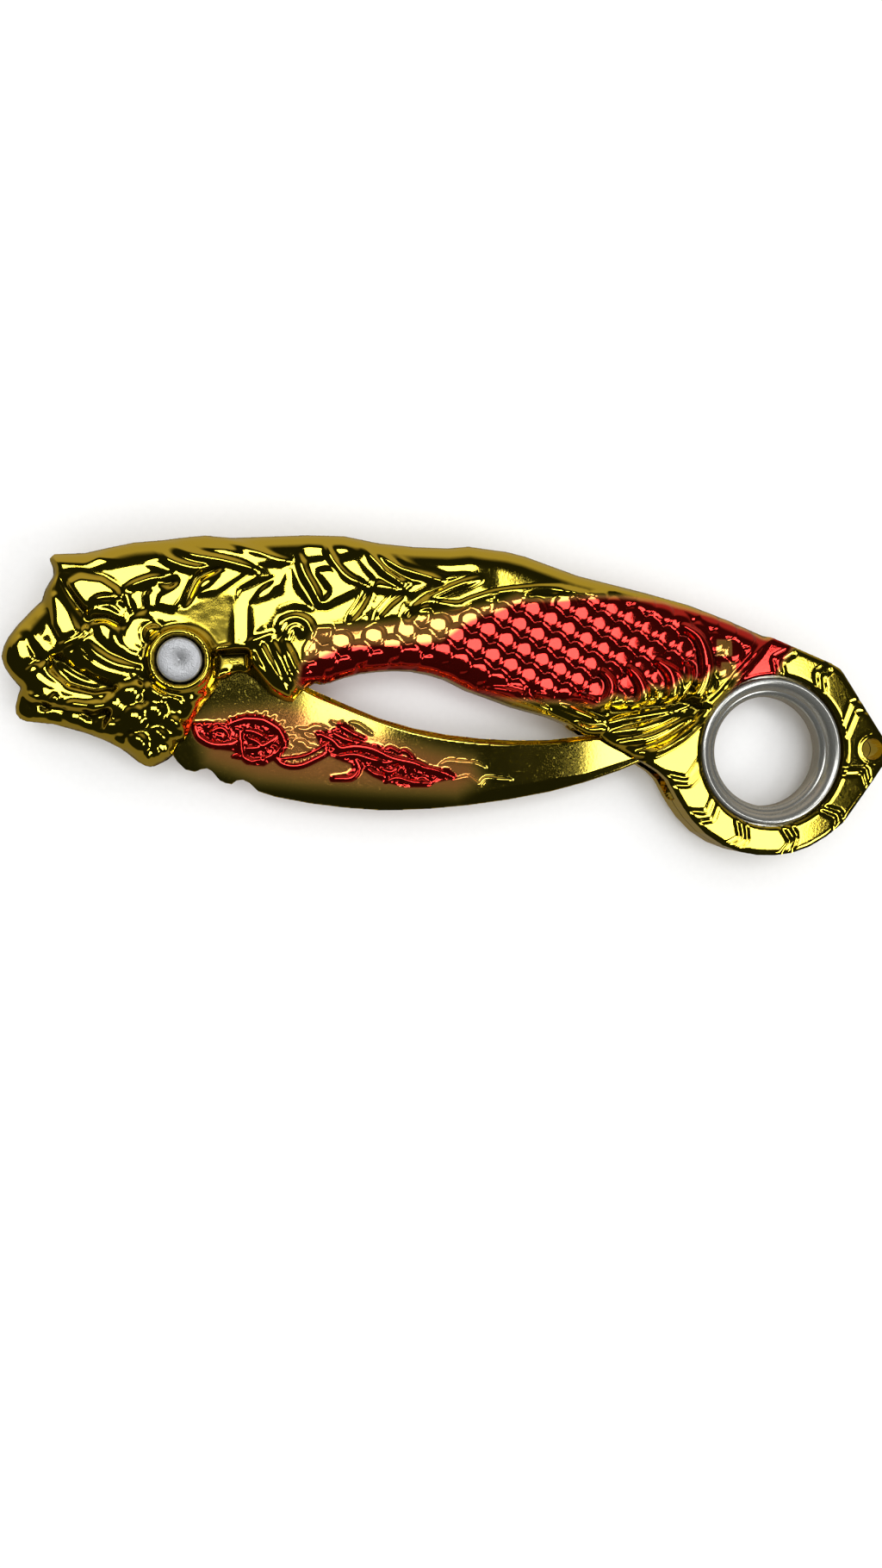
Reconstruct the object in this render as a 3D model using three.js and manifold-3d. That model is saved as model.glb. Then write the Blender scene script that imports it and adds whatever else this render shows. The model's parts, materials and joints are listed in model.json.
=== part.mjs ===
// Folding knife with a hawkbill blade, a beast-head handle and a finger ring.
// Millimetres, +Z up. The knife lies flat and closed: +X runs from the snout to the ring,
// +Y towards the handle's back, and the pivot axis is parallel to Z.
// Outlines are drawn with the pivot at x = 0, y = 0 and the casting's parting plane at z = 0;
// the last lines move the whole knife so that it rests on z = 0, centred over the origin.

import * as THREE from 'three';
import { mergeVertices } from 'three/addons/utils/BufferGeometryUtils.js';
import Module from 'manifold-3d';

const wasm = await Module();
wasm.setup();

// ---- Driving dimensions -------------------------------------------------

const SEAM = 0.15;              // each half stops this far from the parting plane
const PLATE_TOP = 4.6;          // flat face of the ring plate above the parting plane
const SLOT_HALF = 2.2;          // half width of the blade slot
const BODY_CROWN = 5.7;         // crest of the scaled body
const CHEEK_CROWN = 6.1;        // crest of the cheek and neck plates
const BROW_CROWN = 7.0;         // crest of the brow and muzzle
const CROWN_BEVEL = 1.1;        // rounding of each crown's edge
const CROWN_BASE = 3;           // crowns start inside the plate below them

const BLADE_HALF = 1.2;         // half of the blade's 2.4 mm thickness
const TANG_R = 8.2;             // round tang about the pivot
const BLADE_BORE_R = 2.5;
const DIMPLE = { r: 0.8, depth: 0.5 };  // where the detent ball drops in

const PIVOT_SHAFT_R = 2.2;
const PIVOT_DISC_R = 3.8;
const PIVOT_DISC_Z = [5.5, 7.1];
const PIVOT_SCREW_R = 1.3;
const PIVOT_SCREW_TOP = 0.5;
const PIVOT_THREAD_TOP = 1;     // blind hole up the pivot pin
const PIVOT_DIMPLE = { r: 0.8, depth: 0.6 };
const HEX = { r: 1.5, depth: 1 };       // socket in the pivot screw
const COLLAR_R = [4.2, 5.2];    // raised collar round the pivot disc
const COLLAR_TOP = 7.4;
const WASHER_R = [2.5, 5.0];
const WASHER_Z = [1.4, 2.0];

const STOP_PIN = { x: 5.4, y: 10.15, r: 1.6, halfLength: 3.7 };
const STOP_WELL_R = 3.0;        // clearance round the stop pin

const RING = { x: 107.5, y: -15.6 };
const RING_SEAT_R = 14.0;
const RING_GROOVE = { r: 15.1, half: 1.5 };
const LANYARD = { x: 126.9, y: -15.2, r: 2.0 };
const POCKET_R = 92.2;          // blade tip pocket in the tail, about the pivot

const BALL = { x: -5.1, y: 4.2, z: -2.3, r: 0.8 };
const LEAF_END = { x: -13.6, y: 8.6 };
const LEAF_WIDTH = 3.2;
const LEAF_Z = [-4.0, -3.4];
const GAP = 0.3;                // clearance between pieces that touch on the real knife

const BODY_SCREWS = [[13, 15], [48, 9], [97, 0.5]];
const SCREW_HEAD = { r: 2.1, z: [-4.3, -2.7] };
const SCREW_SHANK = { r: 1.1, top: 2.6 };
const SCREW_HEX = { scale: 0.7, depth: 0.8 };
const LEAF_SCREW = { headR: 1.2, headZ: [0.2, 0.9], shankR: 0.6, depth: 1.2 };

const OVERLAP = 0.5;            // joined solids run into each other by this much
const OUTSIDE = 1;              // cuts start this far outside the solid they cut
const ROUND_STEPS = 32;
const FINE_STEPS = 48;
const SMALL_STEPS = 16;
const CAP_STEPS = 8;

// ---- Outlines -----------------------------------------------------------

// The handle's edge, clockwise from the snout.
const snoutAndCrest = [
  [-29.9, 0.5], [-29.5, 2.2], [-28.8, 3.7], [-27.1, 6], [-24.3, 9], [-23.2, 10], [-22.6, 12],
  [-21.2, 14.3], [-21.3, 15.6], [-21.9, 17.2], [-21.1, 18], [-16, 18.3], [-12.1, 19.3],
];
const back = [
  [-7.8, 20.3], [-3.1, 20.8], [1.6, 21.5], [4.2, 21.8], [8.6, 21.5], [13.4, 21.8], [21.7, 22.3],
  [28.3, 22.3], [34.4, 21.2], [40.5, 20.7], [46.7, 20.6], [50.5, 21], [57.6, 20.2], [60.7, 19.5],
  [65.5, 17.9], [70.6, 16.2], [83.5, 13.3], [91.4, 11.3], [99.3, 8.5], [110.1, 4.2], [118.6, 0.8],
  [120.4, -0.2], [121.1, -1],
];
const ringPlate = [
  [129, -12.8], [130.6, -15.2], [129.6, -17.6], [127.3, -20.9], [125.2, -23.8], [121.4, -28.9],
  [118, -31.5], [114.6, -33.4], [111.2, -34.5], [107.9, -34.9], [104.5, -34.8], [101.2, -34.2],
  [97.8, -32.9], [94.5, -30.8], [91.8, -28.1], [90.2, -25.9], [89, -24], [88, -22.2],
  [87.2, -20.8], [85.6, -19.3], [83, -17.7], [80, -15.9], [78.1, -15], [76, -13.8],
  [74.9, -12.8],
];
const belly = [
  [72, -12.6], [71.2, -12], [70.3, -11.6], [69.2, -10.6], [65.6, -9.2], [59.2, -7.5],
  [54.5, -5.8], [51, -4.6], [46.7, -2.5], [43.6, -1.6], [40.5, -1.1], [37.7, -1], [34.3, -1.2],
  [31.3, -1.6], [28.3, -2.4], [25.8, -3.3], [24.4, -3.6], [23.3, -3.3], [21.8, -4.1],
];
const fangAndLip = [
  [19.2, -6.9], [17.7, -6.7], [16.2, -5.9], [15, -5.2], [13.2, -3.4], [12.3, -2.6],
  [11.2, -1.9], [9.8, -1.6], [8.5, -2.1], [7.6, -2.7], [6.7, -3],
];
const jaw = [
  [5.5, -5.1], [4.3, -6.6], [3.2, -8.1], [1.7, -10.5], [1.4, -12], [0.5, -13.5], [-0.7, -14.1],
  [-1.6, -16], [-3, -17.2], [-5.2, -18.3], [-6.2, -18.1], [-7.4, -17.4], [-10.2, -15.1],
  [-13.1, -13.6], [-16, -12.5], [-21.6, -10.9], [-25.9, -10.5], [-27, -10], [-27.6, -9.2],
  [-27.7, -8], [-27.2, -5.9], [-26.8, -4.8], [-28.3, -3], [-29.3, -1.4],
];
const handleOutline = [...snoutAndCrest, ...back, ...ringPlate, ...belly, ...fangAndLip, ...jaw];

// The raised crowns that carry the relief, each inside the handle's edge.
const browCrown = [
  [-26.5, 1.5], [-24.2, 5.8], [-20.5, 9], [-18.6, 13.5], [-12, 15.8], [-4, 12.5], [4.2, 7],
  [6, 0], [3, -6], [-5, -7], [-16, -5], [-23.5, -4.5],
];
const cheekCrown = [
  [-25.5, -2], [-22, 7], [-18.5, 15.2], [-8, 17.6], [4, 19], [20, 19.6], [30, 19], [36, 15],
  [35, 9], [27, 5.5], [22.5, 1], [19.6, -3.6], [13, 0.5], [6, 0], [2, -7], [-2.5, -13],
  [-8, -12.8], [-17, -9], [-24, -7.5],
];
const bodyCrown = [
  [30, 17], [50, 17], [62, 14.5], [80, 9.5], [94, 5.5], [91.5, -1], [85, -7], [78, -10.6],
  [70, -8.6], [60, -4.6], [50, -1.4], [40, 1.4], [28, 0], [24.5, 4],
];

// Everything the blade sweeps between the two halves, from closed to open.
const sweptSlot = [
  [-0.5, 26], [0.6, 19.2], [1.6, 17.9], [3.8, 14.9], [4.9, 12.6], [3.6, 9.4], [5.2, 7.6],
  [8.3, 10.7], [10.9, 8.4], [13.8, 4.6], [17.2, 0.8], [20.6, -2.3], [23.4, -2.9], [30, -12],
  [30, -40], [-40, -40], [-40, 26],
];
const tailPocketTop = [[66, -40], [66, -11.4], [84, -11.2], [91.4, -11.2]];

// The closed blade, clockwise from its heel: spine with its thumb notches, tip, concave edge.
const bladeSpine = [
  [-2.5, -7.8], [-4, -12.4], [-3, -14.6], [-1.7, -16.2], [-0.9, -17.4], [0.5, -18.8],
  [2.1, -19.2], [3, -18.8], [4.2, -18.6], [5.1, -19.1], [6.4, -20.7], [7.4, -21.2],
  [8.5, -21.4], [9.2, -20.8], [10.4, -20.6], [11.6, -21.2], [13.1, -22.7], [16.1, -23.7],
  [22.2, -24.9], [28.3, -25.7], [34.5, -26.2], [38.2, -26.2], [43.9, -26], [50.8, -25.4],
  [58.4, -24.4], [66.1, -23], [72.6, -21.3], [79, -19.2], [84.5, -17],
];
const bladeEdge = [
  [89.4, -14.2], [84.5, -12.6], [80, -12.2], [75.8, -12.4], [66.1, -13.5], [59.7, -13.6],
  [53.3, -13.3], [47, -12.6], [40.7, -11.4], [34.5, -9.6], [28.4, -7.1], [22.9, -4.7],
  [20, -3.1], [16.5, 0], [13, 4], [10.2, 7.6], [7.7, 9.85], [5.1, 6.4],
];

// ---- Solid helpers --------------------------------------------------------

const toVectors = (points) => points.map(([x, y]) => new THREE.Vector2(x, y));

function prismGeometry(points, z0, z1, bevel = 0) {
  const geometry = new THREE.ExtrudeGeometry(new THREE.Shape(toVectors(points)), {
    depth: z1 - z0 - 2 * bevel,
    bevelEnabled: bevel > 0,
    bevelThickness: bevel,
    bevelSize: bevel,
    bevelOffset: -bevel,
    bevelSegments: 2,
  });
  return geometry.translate(0, 0, z0 + bevel);
}

// A turned shape about an axis along Z. The profile is (radius, height), run anticlockwise.
function latheGeometry(profile, x, y, steps = ROUND_STEPS) {
  const geometry = new THREE.LatheGeometry(toVectors(profile), steps);
  return geometry.rotateX(Math.PI / 2).translate(x, y, 0);
}

function rodGeometry(x, y, r, z0, z1, steps = ROUND_STEPS) {
  return latheGeometry([[0, z0], [r, z0], [r, z1], [0, z1]], x, y, steps);
}

function toSolid(geometry) {
  const bare = new THREE.BufferGeometry();
  bare.setAttribute('position', geometry.getAttribute('position'));
  if (geometry.index) bare.setIndex(geometry.index);
  const merged = mergeVertices(bare, 1e-4);
  const mesh = new wasm.Mesh({
    numProp: 3,
    vertProperties: new Float32Array(merged.getAttribute('position').array),
    triVerts: new Uint32Array(merged.index.array),
  });
  return new wasm.Manifold(mesh);
}

function toGeometry(solid) {
  const { vertProperties, triVerts } = solid.getMesh();
  const geometry = new THREE.BufferGeometry();
  geometry.setAttribute('position', new THREE.BufferAttribute(vertProperties, 3));
  geometry.setIndex(new THREE.BufferAttribute(triVerts, 1));
  geometry.computeVertexNormals();
  return geometry;
}

const join = (solids) => solids.reduce((sum, solid) => sum.add(solid));
const prism = (...args) => toSolid(prismGeometry(...args));
const rod = (...args) => toSolid(rodGeometry(...args));

function arcPoints(r, fromY, toY, count) {
  const from = Math.asin(fromY / r);
  const to = Math.asin(toY / r);
  return Array.from({ length: count + 1 }, (_, i) => {
    const angle = from + ((to - from) * i) / count;
    return [r * Math.cos(angle), r * Math.sin(angle)];
  });
}

// ---- Handle halves ----------------------------------------------------------

// side is +1 for the front half and -1 for the back one; span mirrors a height range.
function span(side, z0, z1) {
  return side > 0 ? [z0, z1] : [-z1, -z0];
}

function handleHalf(side) {
  const block = (points, z0, z1, bevel) => prism(points, ...span(side, z0, z1), bevel);
  const bar = (x, y, r, z0, z1) => rod(x, y, r, ...span(side, z0, z1));
  const tailPocket = [...tailPocketTop, ...arcPoints(POCKET_R, -13, -25, 6), [86, -40]];

  let half = join([
    block(handleOutline, SEAM, PLATE_TOP),
    block(bodyCrown, CROWN_BASE, BODY_CROWN, CROWN_BEVEL),
    block(cheekCrown, CROWN_BASE, CHEEK_CROWN, CROWN_BEVEL),
    block(browCrown, CROWN_BASE, BROW_CROWN, CROWN_BEVEL),
    bar(0, 0, COLLAR_R[1], CROWN_BASE, COLLAR_TOP),
  ]);
  const cuts = [
    block(sweptSlot, -OUTSIDE, SLOT_HALF),
    block(tailPocket, -OUTSIDE, SLOT_HALF),
    bar(STOP_PIN.x, STOP_PIN.y, STOP_WELL_R, -OUTSIDE, SLOT_HALF),
    bar(STOP_PIN.x, STOP_PIN.y, STOP_PIN.r + GAP, SLOT_HALF - OVERLAP, STOP_PIN.halfLength + GAP),
    bar(0, 0, PIVOT_SHAFT_R + GAP, -OUTSIDE, COLLAR_TOP),
    bar(0, 0, COLLAR_R[0], PIVOT_DISC_Z[0] - GAP, COLLAR_TOP + OUTSIDE),
    bar(RING.x, RING.y, RING_SEAT_R, -OUTSIDE, PLATE_TOP + OUTSIDE),
    bar(RING.x, RING.y, RING_GROOVE.r, -OUTSIDE, RING_GROOVE.half),
    bar(LANYARD.x, LANYARD.y, LANYARD.r, -OUTSIDE, PLATE_TOP + OUTSIDE),
  ];
  const screwHole = SCREW_SHANK.r + GAP;
  for (const [x, y] of BODY_SCREWS) {
    cuts.push(rod(x, y, screwHole, -PLATE_TOP, SCREW_SHANK.top + GAP));
    cuts.push(rod(x, y, SCREW_HEAD.r + GAP, -BROW_CROWN - OUTSIDE, SCREW_HEAD.z[1] + GAP));
  }
  for (const cut of cuts) half = half.subtract(cut);
  return half;
}

// A flat bar with round ends, from the detent ball to the screw that holds the leaf.
function leafOutline(grow) {
  const along = Math.atan2(LEAF_END.y - BALL.y, LEAF_END.x - BALL.x);
  const r = LEAF_WIDTH / 2 + grow;
  const cap = (centre, start) =>
    Array.from({ length: CAP_STEPS + 1 }, (_, i) => {
      const angle = start + (Math.PI * i) / CAP_STEPS;
      return [centre.x + r * Math.cos(angle), centre.y + r * Math.sin(angle)];
    });
  return [...cap(LEAF_END, along - Math.PI / 2), ...cap(BALL, along + Math.PI / 2)];
}

const frontHalf = handleHalf(1);
const backHalf = handleHalf(-1).subtract(prism(leafOutline(GAP), LEAF_Z[0] - GAP, -OUTSIDE));

// ---- Blade ------------------------------------------------------------------

function detentDimple(x, y) {
  const face = -BLADE_HALF;
  const bowl = [[0, face - GAP], [DIMPLE.r, face - GAP], [DIMPLE.r, face], [0, face + DIMPLE.depth]];
  return toSolid(latheGeometry(bowl, x, y, SMALL_STEPS));
}

const blade = join([
  prism([...bladeSpine, ...bladeEdge], -BLADE_HALF, BLADE_HALF),
  rod(0, 0, TANG_R, -BLADE_HALF, BLADE_HALF, FINE_STEPS),
])
  .subtract(rod(0, 0, BLADE_BORE_R, -BLADE_HALF - OUTSIDE, BLADE_HALF + OUTSIDE))
  .subtract(detentDimple(BALL.x, BALL.y))
  .subtract(detentDimple(-BALL.x, -BALL.y));

// ---- Turned and small pieces --------------------------------------------------

const tube = (x, y, [rIn, rOut], [z0, z1]) =>
  rod(x, y, rOut, z0, z1).subtract(rod(x, y, rIn, z0 - OUTSIDE, z1 + OUTSIDE));

const dimpleMouth = PIVOT_DISC_Z[1] + GAP;
const dimpleBowl = [
  [0, PIVOT_DISC_Z[1] - PIVOT_DIMPLE.depth], [PIVOT_DIMPLE.r, dimpleMouth], [0, dimpleMouth],
];
const pivotPin = join([
  rod(0, 0, PIVOT_DISC_R, ...PIVOT_DISC_Z),
  rod(0, 0, PIVOT_SHAFT_R, -PIVOT_DISC_Z[0] + GAP, PIVOT_DISC_Z[0] + OVERLAP),
])
  .subtract(rod(0, 0, PIVOT_SCREW_R + GAP, -PIVOT_DISC_Z[0] - OUTSIDE, PIVOT_THREAD_TOP))
  .subtract(toSolid(latheGeometry(dimpleBowl, 0, 0, SMALL_STEPS)));

const hexSocket = Array.from({ length: 6 }, (_, i) => {
  const angle = (Math.PI / 3) * i;
  return [HEX.r * Math.cos(angle), HEX.r * Math.sin(angle)];
});
const pivotScrew = join([
  rod(0, 0, PIVOT_DISC_R, -PIVOT_DISC_Z[1], -PIVOT_DISC_Z[0]),
  rod(0, 0, PIVOT_SCREW_R, -PIVOT_DISC_Z[0] - OVERLAP, PIVOT_SCREW_TOP),
]).subtract(prism(hexSocket, -PIVOT_DISC_Z[1] - OUTSIDE, -PIVOT_DISC_Z[1] + HEX.depth));

// Flared steel liner: the flange at mid height turns in the groove between the halves.
const sleeveHalf = [
  [10.3, 0.8], [10.7, 1.6], [11.3, 2.4], [12.2, 3.5], [12.9, 3.9], [13.4, 3.7], [13.6, 3.1],
  [13.7, 1.2], [14.8, 1.2],
];
const sleeveProfile = [
  ...sleeveHalf.map(([r, z]) => [r, -z]),
  ...sleeveHalf.slice().reverse(),
];
const ringSleeve = toSolid(
  latheGeometry([...sleeveProfile, sleeveProfile[0]], RING.x, RING.y, FINE_STEPS),
);

const bodyScrew = ([x, y]) => join([
  rod(x, y, SCREW_HEAD.r, ...SCREW_HEAD.z),
  rod(x, y, SCREW_SHANK.r, SCREW_HEAD.z[1] - OVERLAP, SCREW_SHANK.top),
]).subtract(prism(
  hexSocket.map(([dx, dy]) => [x + dx * SCREW_HEX.scale, y + dy * SCREW_HEX.scale]),
  SCREW_HEAD.z[0] - OUTSIDE,
  SCREW_HEAD.z[0] + SCREW_HEX.depth,
));

const leafBar = (r, z0, z1) => rod(LEAF_END.x, LEAF_END.y, r, z0, z1, SMALL_STEPS);
const detentLeaf = prism(leafOutline(0), ...LEAF_Z)
  .subtract(leafBar(LEAF_SCREW.shankR + GAP, LEAF_Z[0] - OUTSIDE, LEAF_Z[1] + OUTSIDE));
const leafScrew = join([
  leafBar(LEAF_SCREW.headR, LEAF_Z[1] + LEAF_SCREW.headZ[0], LEAF_Z[1] + LEAF_SCREW.headZ[1]),
  leafBar(LEAF_SCREW.shankR, LEAF_Z[0] - LEAF_SCREW.depth, LEAF_Z[1] + OVERLAP),
]);
const leafScrewHole = leafBar(
  LEAF_SCREW.shankR + GAP, LEAF_Z[0] - LEAF_SCREW.depth - GAP, LEAF_Z[1] + OVERLAP,
);

// ---- Materials and assembly -----------------------------------------------------

const metal = (color, roughness) =>
  new THREE.MeshStandardMaterial({ color, roughness, metalness: 1 });
const platedGold = metal(0xd8b84a, 0.12);
const platedBlade = metal(0xc9a63c, 0.18);
const turnedSteel = metal(0x9a9c96, 0.28);
const springSteel = metal(0x7d8086, 0.35);
const bronze = metal(0xb08a4a, 0.4);

const knife = new THREE.Group();

function place(name, solid, material) {
  const mesh = new THREE.Mesh(toGeometry(solid), material);
  mesh.name = name;
  knife.add(mesh);
}

place('front_handle_half', frontHalf, platedGold);
place('back_handle_half', backHalf.subtract(leafScrewHole), platedGold);
place('blade', blade, platedBlade);
place('pivot_pin', pivotPin, turnedSteel);
place('pivot_screw', pivotScrew, turnedSteel);
place('front_washer', tube(0, 0, WASHER_R, WASHER_Z), bronze);
place('back_washer', tube(0, 0, WASHER_R, [-WASHER_Z[1], -WASHER_Z[0]]), bronze);
place('stop_pin', rod(STOP_PIN.x, STOP_PIN.y, STOP_PIN.r, -STOP_PIN.halfLength,
  STOP_PIN.halfLength), springSteel);
place('finger_ring_sleeve', ringSleeve, turnedSteel);
place('detent_leaf', detentLeaf, springSteel);
place('detent_leaf_screw', leafScrew, springSteel);
place('detent_ball', toSolid(
  new THREE.SphereGeometry(BALL.r, 20, 12).translate(BALL.x, BALL.y, BALL.z),
), springSteel);
BODY_SCREWS.forEach((spot, i) => place(`body_screw_${i + 1}`, bodyScrew(spot), springSteel));

// Rest the knife on z = 0 with the middle of its outline over the origin.
const box = new THREE.Box3().setFromObject(knife);
knife.position.set(-(box.min.x + box.max.x) / 2, -(box.min.y + box.max.y) / 2, -box.min.z);

const model = new THREE.Group();
model.add(knife);
export default model;
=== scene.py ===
# %% [markdown]
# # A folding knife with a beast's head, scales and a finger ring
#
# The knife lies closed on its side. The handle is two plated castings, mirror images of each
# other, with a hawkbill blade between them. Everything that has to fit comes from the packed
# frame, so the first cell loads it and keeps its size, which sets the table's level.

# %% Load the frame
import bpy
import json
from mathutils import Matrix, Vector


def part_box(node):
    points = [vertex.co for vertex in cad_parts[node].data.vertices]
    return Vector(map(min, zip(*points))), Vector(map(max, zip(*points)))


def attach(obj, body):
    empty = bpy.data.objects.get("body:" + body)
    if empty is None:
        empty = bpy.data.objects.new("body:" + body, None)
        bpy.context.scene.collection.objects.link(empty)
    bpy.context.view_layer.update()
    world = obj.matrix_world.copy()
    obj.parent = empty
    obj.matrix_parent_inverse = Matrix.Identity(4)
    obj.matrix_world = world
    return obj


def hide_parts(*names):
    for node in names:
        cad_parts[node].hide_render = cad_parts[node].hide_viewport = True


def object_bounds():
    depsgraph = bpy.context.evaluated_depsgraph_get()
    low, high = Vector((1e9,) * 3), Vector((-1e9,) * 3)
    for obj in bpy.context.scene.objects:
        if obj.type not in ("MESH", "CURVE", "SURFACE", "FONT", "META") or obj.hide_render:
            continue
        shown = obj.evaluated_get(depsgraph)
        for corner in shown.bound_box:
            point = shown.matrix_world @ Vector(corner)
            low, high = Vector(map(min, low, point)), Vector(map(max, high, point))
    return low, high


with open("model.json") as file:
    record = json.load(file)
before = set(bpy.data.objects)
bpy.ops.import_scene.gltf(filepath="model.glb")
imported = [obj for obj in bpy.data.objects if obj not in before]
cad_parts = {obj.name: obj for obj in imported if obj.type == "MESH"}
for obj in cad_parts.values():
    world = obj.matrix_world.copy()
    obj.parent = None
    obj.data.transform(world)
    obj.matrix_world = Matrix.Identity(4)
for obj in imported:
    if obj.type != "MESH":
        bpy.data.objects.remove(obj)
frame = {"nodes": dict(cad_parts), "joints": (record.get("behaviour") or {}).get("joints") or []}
cad_box = [list(corner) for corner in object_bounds()]

import json
import math

import bmesh
import bpy
import numpy as np
from mathutils import Vector

MM = 0.001
JOINTS = {joint["name"]: joint["pos_m"] for joint in frame["joints"]}
PIVOT = np.array(JOINTS["blade_pivot"]) / MM
RING = np.array(JOINTS["ring_sleeve_spin"]) / MM - PIVOT
print("pivot at", PIVOT.round(2), "mm, ring centre from it", RING.round(2))

# %% [markdown]
# ## The camera
#
# The knife is seen almost straight from above, with the camera a hand's breadth away, leaning
# eight degrees to the left and a little towards the belly side. A lens this close shows the
# ring's inner wall on one side only.

# %% Camera
camera_data = bpy.data.cameras.new("camera")
camera_data.lens = 27.04
camera_data.clip_start = 0.01
camera = bpy.data.objects.new("camera", camera_data)
camera.location = (-0.034205, -0.009255, 0.219235)
camera.rotation_euler = (math.radians(-1.6), math.radians(-8.0), 0.0)
bpy.context.scene.collection.objects.link(camera)
bpy.context.scene.camera = camera
print("camera", round(camera.location.z / MM), "mm above the table")

# %% [markdown]
# ## Shader maths as Python
#
# A material's pattern is worked out by small nodes. Wrapping a socket in a class lets an
# expression such as 1 - hollow * 0.6 add its own Math nodes, so the recipes stay readable.


# %% Wires and recipes
class Wire:
    """An output socket. Python's operators on it add Math nodes."""

    def __init__(self, recipe, socket):
        self.recipe, self.socket = recipe, socket

    def math(self, operation, first, second):
        return self.recipe.node("ShaderNodeMath", {"operation": operation}, {0: first, 1: second})

    def __add__(self, other):
        return self.math("ADD", self, other)

    def __sub__(self, other):
        return self.math("SUBTRACT", self, other)

    def __rsub__(self, other):
        return self.math("SUBTRACT", other, self)

    def __mul__(self, other):
        return self.math("MULTIPLY", self, other)

    __radd__, __rmul__ = __add__, __mul__


class Recipe:
    """A node tree, filled one node at a time."""

    def __init__(self, tree):
        self.tree = tree
        tree.nodes.clear()

    def node(self, kind, settings, sockets, output=0):
        """One node: its settings first, then the values or links of its sockets."""
        made = self.tree.nodes.new(kind)
        for key, value in settings.items():
            setattr(made, key, value)
        for key, value in sockets.items():
            if isinstance(value, Wire):
                self.tree.links.new(value.socket, made.inputs[key])
            else:
                made.inputs[key].default_value = value
        return Wire(self, made.outputs[output]) if made.outputs else None

    def mix(self, share, first, second):
        return self.node("ShaderNodeMix", {"data_type": "RGBA"}, {0: share, 6: first, 7: second}, 2)

    def ramp(self, value, low, high):
        """0 below low, 1 above high, and a soft step between them."""
        return self.node("ShaderNodeMapRange", {"interpolation_type": "SMOOTHSTEP"},
                         {"Value": value, "From Min": low, "From Max": high})

    def noise(self, place, scale, detail=2.0):
        return self.node("ShaderNodeTexNoise", {}, {"Vector": place, "Scale": scale, "Detail": detail})

    def attribute(self, name):
        return self.node("ShaderNodeAttribute", {"attribute_name": name}, {}, "Fac")


def new_recipe(name):
    material = bpy.data.materials.new(name)
    material.use_nodes = True
    return material, Recipe(material.node_tree)


# %% [markdown]
# ## Light for a mirror
#
# Bright plating shows nothing but its surroundings, so the room matters more than the lamps.
# Overhead it is nearly black, with two softboxes and a small window that the flat plates can
# catch. Towards the horizon it turns a dim warm brown, with a lighter wall on one side, which
# gives the steps and side walls their duller gold. A window at the side picks out the faces
# that look right. A last lamp, kept out of reflections, only makes the table pale.


# %% Surroundings, softboxes and table
CEILING = (0.011, 0.012, 0.007, 1)
HORIZON = (0.19, 0.16, 0.115, 1)
SIDE_WALL = (0.38, 0.32, 0.24, 1)
BACKDROP = (0.93, 0.93, 0.93, 1)
TABLE_GAP = 0.0001    # metres between the knife's lowest point and the table


def paint_room():
    world = bpy.data.worlds.new("room")
    bpy.context.scene.world = world
    world.use_nodes = True
    room = Recipe(world.node_tree)
    way = room.node("ShaderNodeTexCoord", {}, {}, "Generated")
    up = room.node("ShaderNodeSeparateXYZ", {}, {0: way}, "Z")
    side = room.node("ShaderNodeSeparateXYZ", {}, {0: way}, "Y")
    overhead = room.ramp(up, 0.0, 0.18)
    seen = room.mix(overhead, HORIZON, CEILING)
    wall = room.ramp(side, 0.25, 0.75) * (1 - room.ramp(up, 0.30, 0.70))
    seen = room.mix(wall, seen, SIDE_WALL)
    by_eye = room.node("ShaderNodeLightPath", {}, {}, "Is Camera Ray")
    tint = room.mix(by_eye, seen, BACKDROP)
    glow = room.node("ShaderNodeBackground", {}, {"Color": tint, "Strength": 1.0})
    room.node("ShaderNodeOutputWorld", {}, {"Surface": glow})


def softbox(name, centre, size, glow, glossy=True):
    """A lamp facing straight down, as bright as glow, with its size in metres."""
    data = bpy.data.lights.new(name, "AREA")
    data.shape = "RECTANGLE"
    data.size, data.size_y = size
    data.energy = glow * math.pi * size[0] * size[1] * 4
    lamp = bpy.data.objects.new(name, data)
    lamp.location = centre
    lamp.visible_glossy = glossy
    lamp.visible_camera = False
    bpy.context.scene.collection.objects.link(lamp)


def lay_table():
    bm = bmesh.new()
    bmesh.ops.create_grid(bm, x_segments=8, y_segments=8, size=3.0)
    data = bpy.data.meshes.new("table")
    bm.to_mesh(data)
    bm.free()
    table = bpy.data.objects.new("table", data)
    table.location.z = cad_box[0][2] - TABLE_GAP
    bpy.context.scene.collection.objects.link(table)
    material, paper = new_recipe("pale_paper")
    place = paper.node("ShaderNodeTexCoord", {}, {}, "Object")
    fibre = paper.noise(place, 900.0)
    tone = paper.mix(fibre, (0.90, 0.90, 0.90, 1), (0.94, 0.94, 0.94, 1))
    top = paper.node("ShaderNodeBsdfDiffuse", {}, {"Color": tone})
    below = paper.node("ShaderNodeNewGeometry", {}, {}, "Backfacing")
    clear = paper.node("ShaderNodeBsdfTransparent", {}, {})
    both = paper.node("ShaderNodeMixShader", {}, {0: below, 1: top, 2: clear})
    paper.node("ShaderNodeOutputMaterial", {}, {"Surface": both})
    data.materials.append(material)
    table.visible_glossy = False


paint_room()
softbox("upper_softbox", (-0.10, 0.33, 1.5), (0.80, 0.40), 1.0)
softbox("right_softbox", (0.60, -0.03, 1.5), (0.34, 0.34), 1.0)
softbox("small_window", (0.065, 0.045, 1.5), (0.11, 0.07), 0.9)
softbox("side_window", (0.85, -0.55, 0.95), (0.45, 0.45), 1.3)
softbox("table_light", (0.0, 0.0, 3.0), (8.0, 8.0), 0.31, glossy=False)
lay_table()
bpy.context.scene.view_settings.view_transform = "Standard"
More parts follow.
